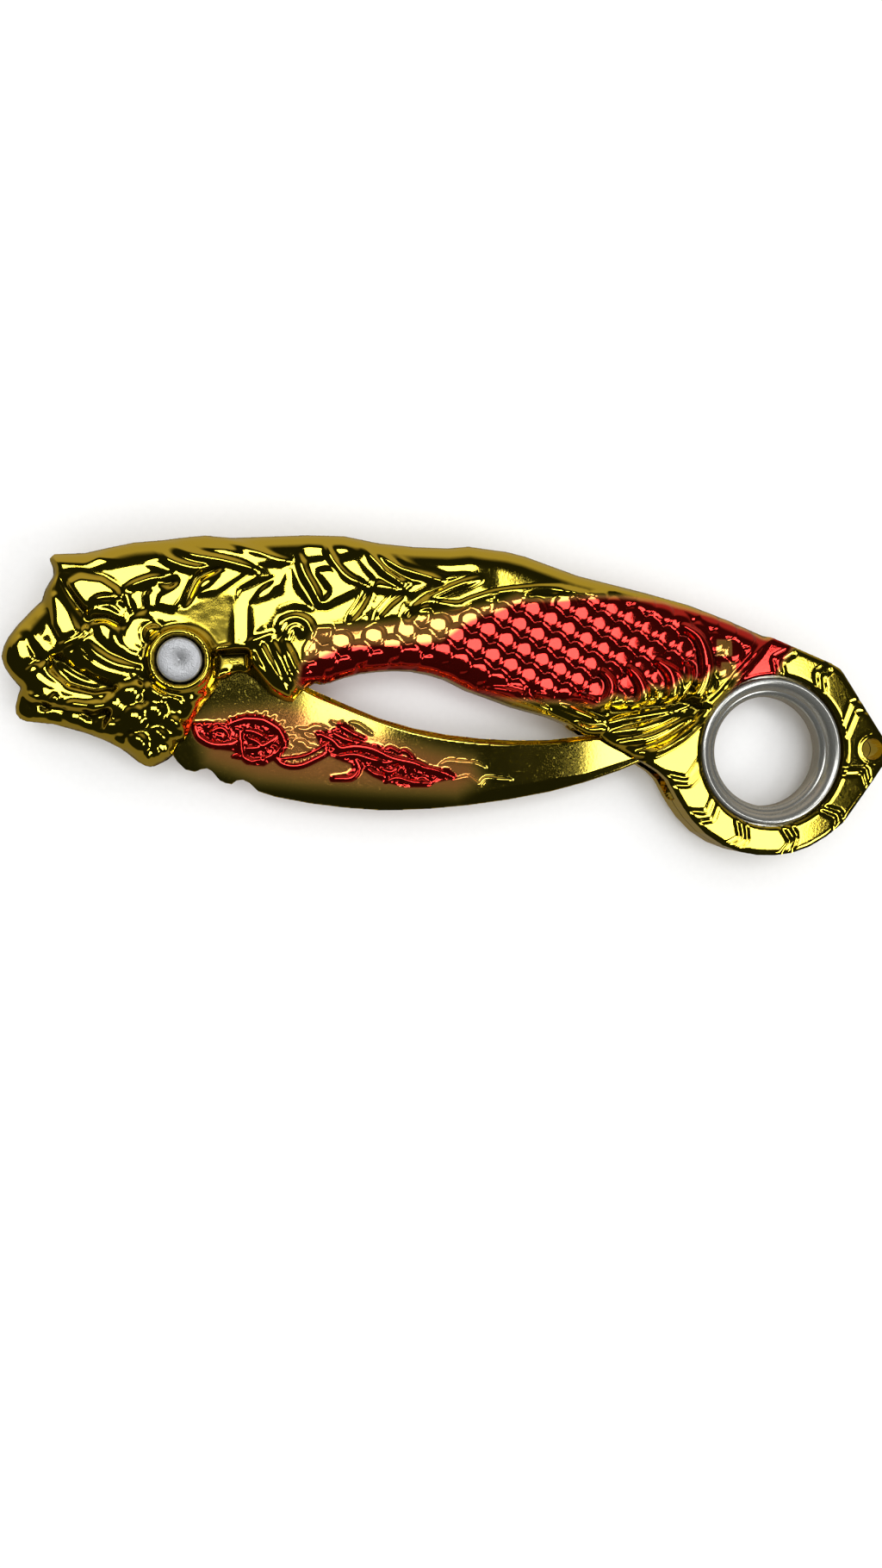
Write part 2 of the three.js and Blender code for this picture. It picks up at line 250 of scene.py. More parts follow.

# %% [markdown]
# ## Plating, lacquer and steel
#
# The castings are zinc under a bright gold plating. A clear red lacquer is sprayed over the
# scales and fades to orange at its edge. Three values painted on each point of the mesh say
# where it lies: lacquer, from bare gold over orange to red; a recess mask, for painted shade
# that darkens deep places; and frost, where the plating is rougher.


# %% Finishes
GOLD = (0.95, 0.75, 0.085, 1)
COPPER = (0.92, 0.38, 0.10, 1)
RED = (0.78, 0.030, 0.022, 1)
RECESS_SHADE_TONE = (0.012, 0.008, 0.003, 1)


def plated(name, gold=GOLD, pitted=0.45):
    """Bright plating with its lacquer. pitted is how strongly the fine pits show."""
    material, r = new_recipe(name)
    place = r.node("ShaderNodeTexCoord", {}, {}, "Object")
    lacquer, hollow, frost = (r.attribute(key) for key in ("lacquer", "hollow", "frost"))
    cloud = r.noise(place, 160.0, 3.0)
    pits = r.noise(place, 2600.0, 3.0)
    bare = r.mix(cloud * 0.30, gold, (gold[0], gold[1] * 0.86, gold[2] * 0.75, 1))
    thin, full = r.ramp(lacquer, 0.0, 0.5), r.ramp(lacquer, 0.45, 0.9)
    warm = r.mix(thin, bare, COPPER)
    red = r.mix(full, warm, RED)
    # Painted shade: the recess mask darkens deep places towards near black and makes them a little rougher.
    tone = r.mix(hollow * 0.8, red, RECESS_SHADE_TONE)
    grit = r.ramp(pits, 0.58, 0.75)
    surface = r.node("ShaderNodeBump", {}, {"Strength": pitted, "Distance": 0.00001,
                                            "Height": pits + frost * pits * 4.0}, "Normal")
    shader = r.node("ShaderNodeBsdfPrincipled", {}, {
        "Base Color": tone, "Metallic": 1.0 - thin * 0.16 + full * 0.13, "Normal": surface,
        "Roughness": 0.04 + cloud * 0.03 + grit * 0.08 + frost * 0.22 + hollow * 0.15,
        "Coat Weight": full * 0.25, "Coat Roughness": 0.06,
    })
    r.node("ShaderNodeOutputMaterial", {}, {"Surface": shader})
    return material


def steel(name, tone, rough, blasted=0.0, metallic=1.0):
    """Turned steel: fine rings round each piece's own axis, or a blasted grain."""
    material, r = new_recipe(name)
    place = r.node("ShaderNodeTexCoord", {}, {}, "Object")
    stain = r.noise(place, 700.0, 3.0)
    grain = r.noise(place, 3800.0, 2.0)
    colour = r.mix(stain * 0.12 + grain * 0.6, tone, tuple(c * 0.72 for c in tone[:3]) + (1,))
    surface = r.node("ShaderNodeBump", {}, {"Strength": 0.4 + blasted * 0.24,
                                            "Distance": 0.000008 + blasted * 0.00002,
                                            "Height": grain}, "Normal")
    shader = r.node("ShaderNodeBsdfPrincipled", {}, {
        "Base Color": colour, "Metallic": metallic, "Normal": surface,
        "Roughness": rough + grain * 0.10 + stain * 0.05,
    })
    r.node("ShaderNodeOutputMaterial", {}, {"Surface": shader})
    return material


FINISH = {
    "handle": plated("plated_casting"),
    "blade": plated("plated_blade", (0.92, 0.74, 0.12, 1), pitted=0.2),
    "disc": steel("blasted_steel", (0.56, 0.57, 0.59, 1), 0.30, blasted=2.5, metallic=0.75),
    "polished": steel("polished_steel", (0.66, 0.66, 0.62, 1), 0.16, metallic=0.85),
    "spring": steel("spring_steel", (0.45, 0.46, 0.48, 1), 0.28),
    "bronze": steel("washer_bronze", (0.62, 0.40, 0.16, 1), 0.30),
}
print("finishes", sorted(FINISH))

# %% [markdown]
# ## Turned pieces
#
# Pins, washers, screws and the ring's liner are all made on a lathe, so one helper spins a
# profile round an upright axis. The profile is a list of radius and height in millimetres,
# and a short flat beside each corner keeps its edge crisp and its highlight thin.


# %% A lathe
TINY = 1e-6           # millimetres; anything closer is the same place


def add_piece(name, mesh, body, finish, stands_for):
    piece = bpy.data.objects.new(name, mesh)
    bpy.context.scene.collection.objects.link(piece)
    mesh.materials.clear()
    mesh.materials.append(FINISH[finish])
    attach(piece, body)
    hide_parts(stands_for)


def turn(profile, x, y, steps=96, closed=False, inset=None):
    """Spins a profile about the axis at x, y into a closed shape, still in millimetres."""
    bm = bmesh.new()
    rings = []
    for radius, height in profile:
        if radius < TINY:
            rings.append([bm.verts.new((x, y, height))] * steps)
            continue
        angles = (math.tau * i / steps for i in range(steps))
        rings.append([bm.verts.new((x + radius * math.cos(a), y + radius * math.sin(a), height))
                      for a in angles])
    pairs = list(zip(rings, rings[1:])) + ([(rings[-1], rings[0])] if closed else [])
    for low, high in pairs:
        for i in range(steps):
            j = (i + 1) % steps
            corners = list(dict.fromkeys((low[i], low[j], high[j], high[i])))
            bm.faces.new(corners)
    if inset:
        sink_socket(bm, x, y, *inset)
    return bm


def to_mesh(bm, name, crease=38.0):
    """Closes a shape drawn in millimetres from the pivot and moves it into the frame."""
    bmesh.ops.recalc_face_normals(bm, faces=bm.faces)
    for vert in bm.verts:
        vert.co = (vert.co + Vector(PIVOT)) * MM
    mesh = bpy.data.meshes.new(name)
    bm.to_mesh(mesh)
    bm.free()
    mesh.shade_smooth()
    mesh.set_sharp_from_angle(angle=math.radians(crease))
    return mesh


def sink_socket(bm, x, y, top, width, depth):
    """Cuts a hexagon socket into the flat centre of a screw's head, which faces down."""
    centre = [v for v in bm.verts if (v.co - Vector((x, y, top))).length < TINY][0]
    ring = [edge.other_vert(centre) for edge in centre.link_edges]
    bm.verts.remove(centre)
    ring.sort(key=lambda v: math.atan2(v.co.y - y, v.co.x - x))

    def hexagon(height):
        return [bm.verts.new((x + width * math.cos(a), y + width * math.sin(a), height))
                for a in (math.tau * i / 6 for i in range(6))]

    mouth, floor = hexagon(top), hexagon(top + depth)
    share = len(ring) // 6
    start = min(range(len(ring)), key=lambda i: abs(math.atan2(ring[i].co.y - y, ring[i].co.x - x)))
    ring = ring[start:] + ring[:start]
    for i in range(6):
        j = (i + 1) % 6
        arc = [ring[(i * share + k) % len(ring)] for k in range(share + 1)]
        bm.faces.new([mouth[i], *arc, mouth[j]])
        bm.faces.new([mouth[i], mouth[j], floor[j], floor[i]])
    bm.faces.new(floor)


# %% Pins, washers and screws
def pivot_pieces():
    rim = 0.15
    disc = [(0, 6.86), (0.25, 6.88), (0.45, 7.0), (3.4, 7.0), (3.65, 6.92), (3.8, 6.7), (3.8, 5.5),
            (2.2, 5.5), (2.2, -5.2), (1.6, -5.2), (1.6, 1.0), (0, 1.0)]
    mesh = to_mesh(turn(disc, 0, 0), "pivot_pin")
    add_piece("pivot_barrel", mesh, "handle", "disc", "pivot_pin")
    head = [(0, -7.1), (1.62, -7.1), (3.8 - rim, -7.1), (3.8, -7.1 + rim), (3.8, -5.5), (1.3, -5.5),
            (1.3, 0.5), (0, 0.5)]
    mesh = to_mesh(turn(head, 0, 0, inset=(-7.1, 1.45, 1.0)), "pivot_screw")
    add_piece("pivot_back_screw", mesh, "handle", "polished", "pivot_screw")
    for side, node in ((1, "front_washer"), (-1, "back_washer")):
        ring = [(2.5, 1.4), (4.9, 1.4), (5.0, 1.5), (5.0, 1.9), (4.9, 2.0), (2.5, 2.0)]
        profile = [(r, side * z) for r, z in ring]
        mesh = to_mesh(turn(profile, 0, 0, closed=True), node)
        add_piece(node + "_turned", mesh, "handle", "bronze", node)


def node_centre(node):
    """A CAD piece's middle, from the pivot, and its size, both in millimetres."""
    low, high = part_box(node)
    return (np.array(low + high) / 2) / MM - PIVOT, np.array(high - low) / MM


def hidden_piece(name, node, profile, steps=48, inset=None):
    """A turned steel piece between the castings, in the place of the CAD piece node."""
    x, y, _ = node_centre(node)[0]
    mesh = to_mesh(turn(profile, x, y, steps, inset=inset), node)
    add_piece(name, mesh, "handle", "spring", node)


def small_pieces():
    _, size = node_centre("stop_pin")
    r, half = size[0] / 2, size[2] / 2
    pin = [(0, -half), (r - 0.2, -half), (r, 0.2 - half), (r, half - 0.2), (r - 0.2, half), (0, half)]
    hidden_piece("stop_pin_turned", "stop_pin", pin)
    for i in (1, 2, 3):
        head, tip = -4.3, 2.6
        screw = [(0, head), (0.95, head), (1.95, head), (2.1, -4.15), (2.1, -2.7), (1.1, -2.7),
                 (1.1, 2.4), (0.9, tip), (0, tip)]
        hidden_piece(f"hidden_screw_{i}", f"body_screw_{i}", screw, inset=(head, 0.85, 0.8))
    centre, size = node_centre("detent_leaf_screw")
    low, high = centre[2] - size[2] / 2, centre[2] + size[2] / 2
    screw = [(0, low), (0.6, low), (0.6, high - 0.7), (1.2, high - 0.7), (1.2, high - 0.15),
             (1.05, high), (0, high)]
    hidden_piece("leaf_screw_turned", "detent_leaf_screw", screw)
    centre, size = node_centre("detent_ball")
    r = size[0] / 2
    arc = [math.pi * i / 16 for i in range(17)]
    ball = [(r * math.sin(a), centre[2] - r * math.cos(a)) for a in arc]
    hidden_piece("ball_polished", "detent_ball", ball, steps=32)
    leaf = frame["nodes"]["detent_leaf"]
    leaf.data.materials.clear()
    leaf.data.materials.append(FINISH["spring"])


def ring_liner():
    half = [(10.3, 0.0), (10.3, 1.3), (10.38, 1.5), (10.9, 2.05), (11.15, 2.15), (11.3, 2.2),
            (11.42, 2.45), (11.9, 3.25), (12.4, 3.65), (12.9, 3.85), (13.2, 3.88), (13.45, 3.75),
            (13.6, 3.4), (13.68, 3.0), (13.7, 1.2), (14.8, 1.2)]
    profile = [(r, -z) for r, z in half[:0:-1]] + half
    mesh = to_mesh(turn(profile, RING[0], RING[1], 192, closed=True), "ring_liner")
    add_piece("ring_liner", mesh, "ring_sleeve", "polished", "finger_ring_sleeve")


pivot_pieces()
small_pieces()
ring_liner()

# %% [markdown]
# ## Carving in relief
#
# A casting like this has no undercuts, because it has to leave its mould. So its whole front
# is one height for each place, and it can be carved the way a modeller works a wax: lay the
# body down, press plates into it, roll on ridges, and soften the lot. The heights are kept on
# a fine square grid, and each tool below changes only the grid near it.


# %% Distances and curves
WELD = 0.000002       # metres; CAD corners closer than this are one corner


def read_rim(node, level, below=None, skip=()):
    """Where upright walls meet a level face of a CAD piece, as pairs of points."""
    bm = bmesh.new()
    bm.from_mesh(frame["nodes"][node].data)
    bmesh.ops.remove_doubles(bm, verts=bm.verts, dist=WELD)
    rim = []
    for edge in bm.edges:
        ends = [np.array(v.co) / MM - PIVOT for v in edge.verts]
        walls = [f for f in edge.link_faces if abs(f.normal.z) < 0.3]
        if len(walls) != 1 or any(abs(end[2] - level) > 0.01 for end in ends):
            continue
        middle = np.mean([v.co.z for v in walls[0].verts]) / MM - PIVOT[2]
        near_bore = any(math.dist(ends[0][:2], (x, y)) < r + 0.1 for x, y, r in skip)
        if not near_bore and (below is None or (middle < level) == below):
            rim.append((ends[0][:2], ends[1][:2]))
    bm.free()
    return rim


def pairs_of(outline):
    """A closed outline's edges."""
    return list(zip(outline, [*outline[1:], outline[0]]))


def depth_inside(x, y, edges):
    """Distance in millimetres to a closed outline's edges: positive inside it."""
    near = np.full(x.shape, 1e9)
    inside = np.zeros(x.shape, bool)
    for (ax, ay), (bx, by) in edges:
        ex, ey = bx - ax, by - ay
        along = np.clip(((x - ax) * ex + (y - ay) * ey) / (ex * ex + ey * ey + 1e-12), 0, 1)
        near = np.minimum(near, (x - ax - along * ex) ** 2 + (y - ay - along * ey) ** 2)
        if ey:
            inside ^= ((ay > y) != (by > y)) & (x < ex * (y - ay) / ey + ax)
    return np.where(inside, 1, -1) * np.sqrt(near)


def from_line(x, y, line):
    """Distance to an open line, and how far along it the nearest point lies, from 0 to 1."""
    near, along = np.full(x.shape, 1e9), np.zeros(x.shape)
    lengths = [math.dist(a, b) for a, b in zip(line, line[1:])]
    done = 0.0
    for (ax, ay), (bx, by), length in zip(line, line[1:], lengths):
        t = np.clip(((x - ax) * (bx - ax) + (y - ay) * (by - ay)) / (length**2 + 1e-12), 0, 1)
        gap = np.hypot(x - ax - t * (bx - ax), y - ay - t * (by - ay))
        along = np.where(gap < near, (done + t * length) / sum(lengths), along)
        near = np.minimum(near, gap)
        done += length
    return near, along


def flowing(points, parts=4):
    """A smooth curve through a few points."""
    p = [np.array(q, float) for q in points]
    p = [2 * p[0] - p[1], *p, 2 * p[-1] - p[-2]]
    curve = []
    for a, b, c, d in zip(p, p[1:], p[2:], p[3:]):
        for t in np.arange(parts) / parts:
            curve.append(0.5 * (2 * b + (c - a) * t + (2 * a - 5 * b + 4 * c - d) * t**2
                                + (3 * b - a - 3 * c + d) * t**3))
    return [*curve, p[-2]]


def step(value):
    """0 up to 0, 1 from 1 on, and a soft step between them."""
    value = np.clip(value, 0, 1)
    return value * value * (3 - 2 * value)


def grain(x, y, size, seed):
    """Smooth random heights from 0 to 1, about size millimetres across."""
    table = np.random.default_rng(seed).random((64, 64))
    u, v = x / size + 900, y / size + 900
    i, j = np.floor(u).astype(int), np.floor(v).astype(int)
    fu, fv = step(u - i), step(v - j)
    i, j, k, m = i % 64, j % 64, (i + 1) % 64, (j + 1) % 64
    return ((table[i, j] * (1 - fu) + table[k, j] * fu) * (1 - fv)
            + (table[i, m] * (1 - fu) + table[k, m] * fu) * fv)


def soften(field, reach):
    """Blurs a grid. reach is the blur's size in grid steps."""
    n = int(3 * reach) + 1
    bell = np.exp(-0.5 * (np.arange(-n, n + 1) / reach) ** 2)
    bell /= bell.sum()
    for axis in (0, 1):
        padded = np.pad(field, [(n, n) if a == axis else (0, 0) for a in (0, 1)], mode="edge")
        field = np.apply_along_axis(np.convolve, axis, padded, bell, "valid")
    return field


# %% [markdown]
# ## The modeller's tools
#
# Each tool does what a hand tool does to wax. A plate presses one level in and bevels its
# edge, a ridge rolls a cord along a line, a ball sets a lump. Ridges and lumps are measured
# from the bed below them and the highest one wins, so that two which cross don't pile up.


# %% The carving tools
class Relief:
    """Heights on a square grid, in millimetres, with the pivot at the origin."""

    def __init__(self, low, high, pitch):
        self.pitch = pitch
        self.xs = np.arange(low[0], high[0], pitch)
        self.ys = np.arange(low[1], high[1], pitch)
        self.x, self.y = np.meshgrid(self.xs, self.ys)
        self.height, self.lacquer, self.frost = (np.zeros(self.x.shape) for _ in range(3))
        self.settle()

    def settle(self):
        """Keeps the present surface as the bed that ridges and lumps are measured from."""
        self.bed = self.height.copy()

    def near(self, points, margin):
        """The part of the grid round some points, as two slices."""
        low, high = np.min(points, axis=0) - margin, np.max(points, axis=0) + margin
        i, k = np.searchsorted(self.xs, (low[0], high[0]))
        j, m = np.searchsorted(self.ys, (low[1], high[1]))
        return slice(j, m), slice(i, k)

    def plate(self, outline, top, bevel=0.6, lean=(0, 0), dome=0.0):
        """A flat or crowned plate with a bevelled edge. lean is the way its face looks."""
        at = self.near(outline, bevel)
        x, y = self.x[at], self.y[at]
        depth = depth_inside(x, y, pairs_of(outline))
        middle = np.mean(outline, axis=0)
        face = top - lean[0] * (x - middle[0]) - lean[1] * (y - middle[1])
        if dome:
            widest = max(depth.max(), 0.1)
            face = face - min(dome, 0.22 * widest) * (1 - np.clip(depth / widest, 0, 1)) ** 2
        share = step(depth / bevel + 0.5)
        self.height[at] = self.height[at] * (1 - share) + face * share
        self.bed[at] = self.bed[at] * (1 - share) + face * share

    def ridge(self, line, rise, width, point=0.3, end=1.0):
        """A raised cord along a line, thin at both ends; a negative rise cuts a groove."""
        curve = flowing(line)
        at = self.near(curve, width)
        gap, along = from_line(self.x[at], self.y[at], curve)
        thin = np.sqrt(np.clip(np.minimum(along / point, (1 - along) * end / point), 0, 1))
        half = width / 2 * (0.3 + 0.7 * thin)
        cord = self.bed[at] + 0.8 * rise * (0.25 + 0.75 * thin) * np.clip(1 - (gap / half) ** 4, 0, 1)
        combine = np.maximum if rise > 0 else np.minimum
        self.height[at] = np.where(gap < half, combine(self.height[at], cord), self.height[at])

    def ball(self, x, y, radius, rise, moat=0.0):
        """A round lump; moat is the depth of a groove round its foot."""
        at = self.near([(x, y)], radius * 1.5)
        gap = np.hypot(self.x[at] - x, self.y[at] - y) / radius
        self.height[at] -= moat * np.exp(-(((gap - 1.12) / 0.16) ** 2))
        lump = self.bed[at] + rise * np.sqrt(np.clip(1 - gap**2, 0, 1))
        self.height[at] = np.where(gap < 1, np.maximum(self.height[at], lump), self.height[at])

    def scale(self, ground, x, y, radius, heading, rise=0.50):
        """A coin-like scale, lying under its neighbour at the root and free at its tail end."""
        at = self.near([(x, y)], radius)
        dx, dy = (self.x[at] - x) / radius, (self.y[at] - y) / radius
        q = np.hypot(dx, dy)
        along = dx * math.cos(heading) + dy * math.sin(heading)
        face = ground[at] + rise * (0.20 + 0.30 * along + 0.75 * np.clip(1 - q**5, 0, 1))
        face += 0.14 * np.exp(-(((q - 0.89) / 0.07) ** 2)) * step(along + 0.6)
        self.height[at] = np.where(q < 1, face, self.height[at])

    def crumple(self, outline, amount, size, seed, stretch=(1.0, 1.0), turn=0.0):
        """Rough cast texture inside an outline; stretch and turn lay its grain one way."""
        at = self.near(outline, 0.5)
        x, y = self.x[at], self.y[at]
        share = step(depth_inside(x, y, pairs_of(outline)) / 0.8 + 0.3)
        u = (x * math.cos(turn) + y * math.sin(turn)) / stretch[0]
        v = (y * math.cos(turn) - x * math.sin(turn)) / stretch[1]
        rough = grain(u, v, size, seed) + 0.5 * grain(u, v, size * 0.5, seed + 1) - 0.75
        self.height[at] += amount * rough * share

    def stain(self, outline, value, fade=1.5, field="lacquer"):
        """Paints a value such as lacquer inside an outline, fading over its edge."""
        at = self.near(outline, fade)
        share = step(depth_inside(self.x[at], self.y[at], pairs_of(outline)) / fade + 0.5)
        paint = getattr(self, field)
        paint[at] = paint[at] * (1 - share) + value * share


# %% [markdown]
# ## From heights to a closed piece
#
# The grid is cut along the outline: a square that the outline crosses is trimmed exactly at
# the line, so the edge is smooth although the grid is square. The same cut gives the inner
# face, and a wall joins the two. Nothing is carved on the inner face, so its level stretches
# are laid in large blocks, which keep their small edge points only beside small triangles.

# %% Grid to mesh
BLOCK = 8             # grid steps along a block's side
SNAP = 0.12           # share of a step


def snapped(inside, pitch):
    """Counts a grid point that all but lies on the outline as just inside it."""
    return np.where(np.abs(inside) < SNAP * pitch, SNAP * pitch, inside)


def cut_grid(pitch, inside):
    """Triangles and boundary edges where inside is positive. Points past the grid's own lie
    on the outline, each between the two grid points in keys, at share of the way."""
    rows, cols = inside.shape
    flat = snapped(inside, pitch).ravel()
    index = np.arange(rows * cols).reshape(rows, cols)
    a, b, c, d = index[:-1, :-1], index[:-1, 1:], index[1:, 1:], index[1:, :-1]
    triangles = np.concatenate([np.stack([a, b, c], -1).reshape(-1, 3),
                                np.stack([a, c, d], -1).reshape(-1, 3)])
    count = (flat[triangles] > 0).sum(1)
    whole, mixed = triangles[count == 3], triangles[(count == 1) | (count == 2)]
    signs = flat[mixed] > 0
    lone = np.where((signs.sum(1) == 1)[:, None], signs, ~signs).argmax(1)
    turned = np.stack([mixed[np.arange(len(mixed)), (lone + k) % 3] for k in range(3)], 1)
    ends = np.sort(np.concatenate([turned[:, [0, 1]], turned[:, [0, 2]]]), 1)
    codes, cut = np.unique(ends[:, 0] * rows * cols + ends[:, 1], return_inverse=True)
    keys = np.stack([codes // (rows * cols), codes % (rows * cols)], 1)
    cut = cut.ravel() + rows * cols
    first, second = cut[:len(mixed)], cut[len(mixed):]
    tip = flat[turned[:, 0]] > 0
    corner = np.stack([turned[:, 0], first, second], 1)[tip]
    t, f, s = turned[~tip], first[~tip], second[~tip]
    trimmed = np.concatenate([corner, np.stack([f, t[:, 1], t[:, 2]], 1), np.stack([f, t[:, 2], s], 1)])
    border = np.concatenate([np.stack([first, second], 1)[tip], np.stack([s, f], 1)])
    share = flat[keys[:, 0]] / (flat[keys[:, 0]] - flat[keys[:, 1]])
    return whole, trimmed, border, keys, share


def lay_blocks(whole, inside, low):
    """Swaps the small triangles of each level block for a few large ones about its middle."""
    rows, cols = inside.shape
    index = np.arange(rows * cols).reshape(rows, cols)
    high, wide = (rows - 1) // BLOCK, (cols - 1) // BLOCK
    level = np.zeros((high + 2, wide + 2), bool)
    for j in range(high):
        for i in range(wide):
            at = slice(j * BLOCK, j * BLOCK + BLOCK + 1), slice(i * BLOCK, i * BLOCK + BLOCK + 1)
            level[j + 1, i + 1] = inside[at].min() > 0 and np.ptp(low[at]) < 1e-6
    start = whole[:, 0]
    blocks = level[np.minimum(start // cols // BLOCK, high) + 1, np.minimum(start % cols // BLOCK, wide) + 1]
    past = (start // cols >= high * BLOCK) | (start % cols >= wide * BLOCK)
    small = whole[~blocks | past]
    large = []
    for j, i in zip(*np.nonzero(level)):
        y, x = (j - 1) * BLOCK, (i - 1) * BLOCK
        sides = [(index[y, x:x + BLOCK + 1], level[j - 1, i]),
                 (index[y:y + BLOCK + 1, x + BLOCK], level[j, i + 1]),
                 (index[y + BLOCK, x:x + BLOCK + 1][::-1], level[j + 1, i]),
                 (index[y:y + BLOCK + 1, x][::-1], level[j, i - 1])]
        middle = index[y + BLOCK // 2, x + BLOCK // 2]
        for side, joined in sides:
            points = side[[0, -1]] if joined else side
            large += [(middle, p, q) for p, q in zip(points, points[1:])]
    return np.concatenate([small, np.array(large).reshape(-1, 3)]).astype(int)


def cast_piece(relief, name, inside, top, low, mirror=False, blocks=True):
    """One closed mesh from an upper and a lower face, with the painted values on its points."""
    whole, trimmed, border, keys, share = cut_grid(relief.pitch, inside)

    def spread(field):
        values = field.ravel()
        return np.concatenate([values, values[keys[:, 0]] * (1 - share) + values[keys[:, 1]] * share])

    upper = np.concatenate([whole, trimmed])
    solid = snapped(inside, relief.pitch)
    lower = np.concatenate([lay_blocks(whole, solid, low) if blocks else whole, trimmed])
    used_up, used_low = np.unique(upper), np.unique(lower)
    n = len(used_up)
    x, y, high, deep = spread(relief.x), spread(relief.y), spread(top), spread(low)
    sign = -1 if mirror else 1
    points = np.concatenate([np.stack([x, y, sign * high], 1)[used_up],
                             np.stack([x, y, sign * deep], 1)[used_low]])
    up, down = np.searchsorted(used_up, border), np.searchsorted(used_low, border) + n
    walls = np.concatenate([np.stack([up[:, 1], up[:, 0], down[:, 0]], 1),
                            np.stack([up[:, 1], down[:, 0], down[:, 1]], 1)])
    triangles = np.concatenate([np.searchsorted(used_up, upper),
                                np.searchsorted(used_low, lower)[:, ::-1] + n, walls])
    triangles = triangles[:, ::-1] if mirror else triangles
    mesh = bpy.data.meshes.new(name)
    mesh.vertices.add(len(points))
    mesh.vertices.foreach_set("co", ((points + PIVOT) * MM).astype(np.float32).ravel())
    mesh.loops.add(triangles.size)
    mesh.loops.foreach_set("vertex_index", triangles.astype(np.int32).ravel())
    mesh.polygons.add(len(triangles))
    mesh.polygons.foreach_set("loop_start", np.arange(0, triangles.size, 3, dtype=np.int32))
    mesh.update(calc_edges=True)
    for key in ("lacquer", "hollow", "frost"):
        values = spread(getattr(relief, key))
        layer = mesh.attributes.new(key, "FLOAT", "POINT")
        inner = values[used_low] * (not blocks)
        layer.data.foreach_set("value", np.concatenate([values[used_up], inner]).astype(np.float32))
    mesh.shade_smooth()
    mesh.set_sharp_from_angle(angle=math.radians(50))
    return mesh


# %% [markdown]
# ## The handle's ground
#
# Both castings share one outline, one ring seat and one blade slot, all read off the CAD
# pieces. The ground is their shape before any ornament: a rounded body, a higher head, and a
# flat plate round the finger ring with only a narrow rounding at its edge.

# %% Ground
PLATE = 4.6           # flat of the ring plate above the parting plane
RING_SEAT = 14.0      # radius of the liner's seat
PIVOT_BORE = 2.5
LANYARD = (126.9, -15.2, 2.0)
BORES = [(RING[0], RING[1], RING_SEAT), LANYARD, (0.0, 0.0, PIVOT_BORE)]

carving = Relief((-31.0, -36.0), (131.8, 23.4), 0.25)
outline = read_rim("front_handle_half", PLATE, True, [(x, y, r + 0.6) for x, y, r in BORES])
edge_depth = depth_inside(carving.x, carving.y, outline)
print("outline edges", len(outline), "area", round(float((edge_depth > 0).sum() * carving.pitch**2)), "mm2")


def rounding(depth, width):
    """A quarter round: 0 at the edge, 1 from width inwards."""
    return np.sqrt(1 - (1 - np.clip(depth / width, 0, 1)) ** 2)


RING_ZONE = [(107, 6.2), (104.2, 2.7), (100.3, -1.5), (97.6, -4.7), (94, -8.3), (90.6, -11.8), (87, -15),
             (83, -17.5), (80.7, -17.5), (74.9, -15.3), (73.4, -37.1), (135.3, -38), (134.7, 13.8),
             (108.3, 11.7)]
HEAD_ZONE = [(-31.9, 23.4), (6.1, 24.4), (13.4, 18.8), (16, 10), (13.3, 1), (7.7, -3.5), (4.4, -19.7),
             (-32.4, -19.6)]
CHEEK_ZONE = [(-1.1, 24.2), (52.4, 25.7), (54, 12.1), (40.2, 9.9), (31.9, 6.9), (22.8, 4.9), (19.2, -9.3),
              (6.7, -4.9), (4.6, 9.8)]


def crown(low, rise, width):
    """A rounded ground: low at the outline and higher by rise from width inwards."""
    return low + rise * rounding(edge_depth, width)


def lay_ground():
    ground = crown(2.2, 3.2, 4.0)
    for zone, top, fade in ((CHEEK_ZONE, crown(2.2, 3.3, 4.0), 4.0),
                            (HEAD_ZONE, crown(2.3, 3.6, 5.0), 4.0),
                            (RING_ZONE, crown(PLATE - 0.45, 0.45, 0.5), 0.5)):
        share = step(depth_inside(carving.x, carving.y, pairs_of(zone)) / fade + 0.5)
        ground = ground * (1 - share) + top * share
    return ground


carving.height = lay_ground()
carving.settle()
print("ground up to", carving.height.max().round(2), "mm above the parting plane")

# %% [markdown]
# ## The head
#
# The beast looks to the left. Its muzzle, lips and brow are smooth plates with sharp dark
# steps between them, and the mouth and the nostril are crumpled. They could be modelled as
# one sculpted surface, but laying separate plates keeps every step crisp. Plates are laid
# from the outside inwards, so each later one overlaps the one before.


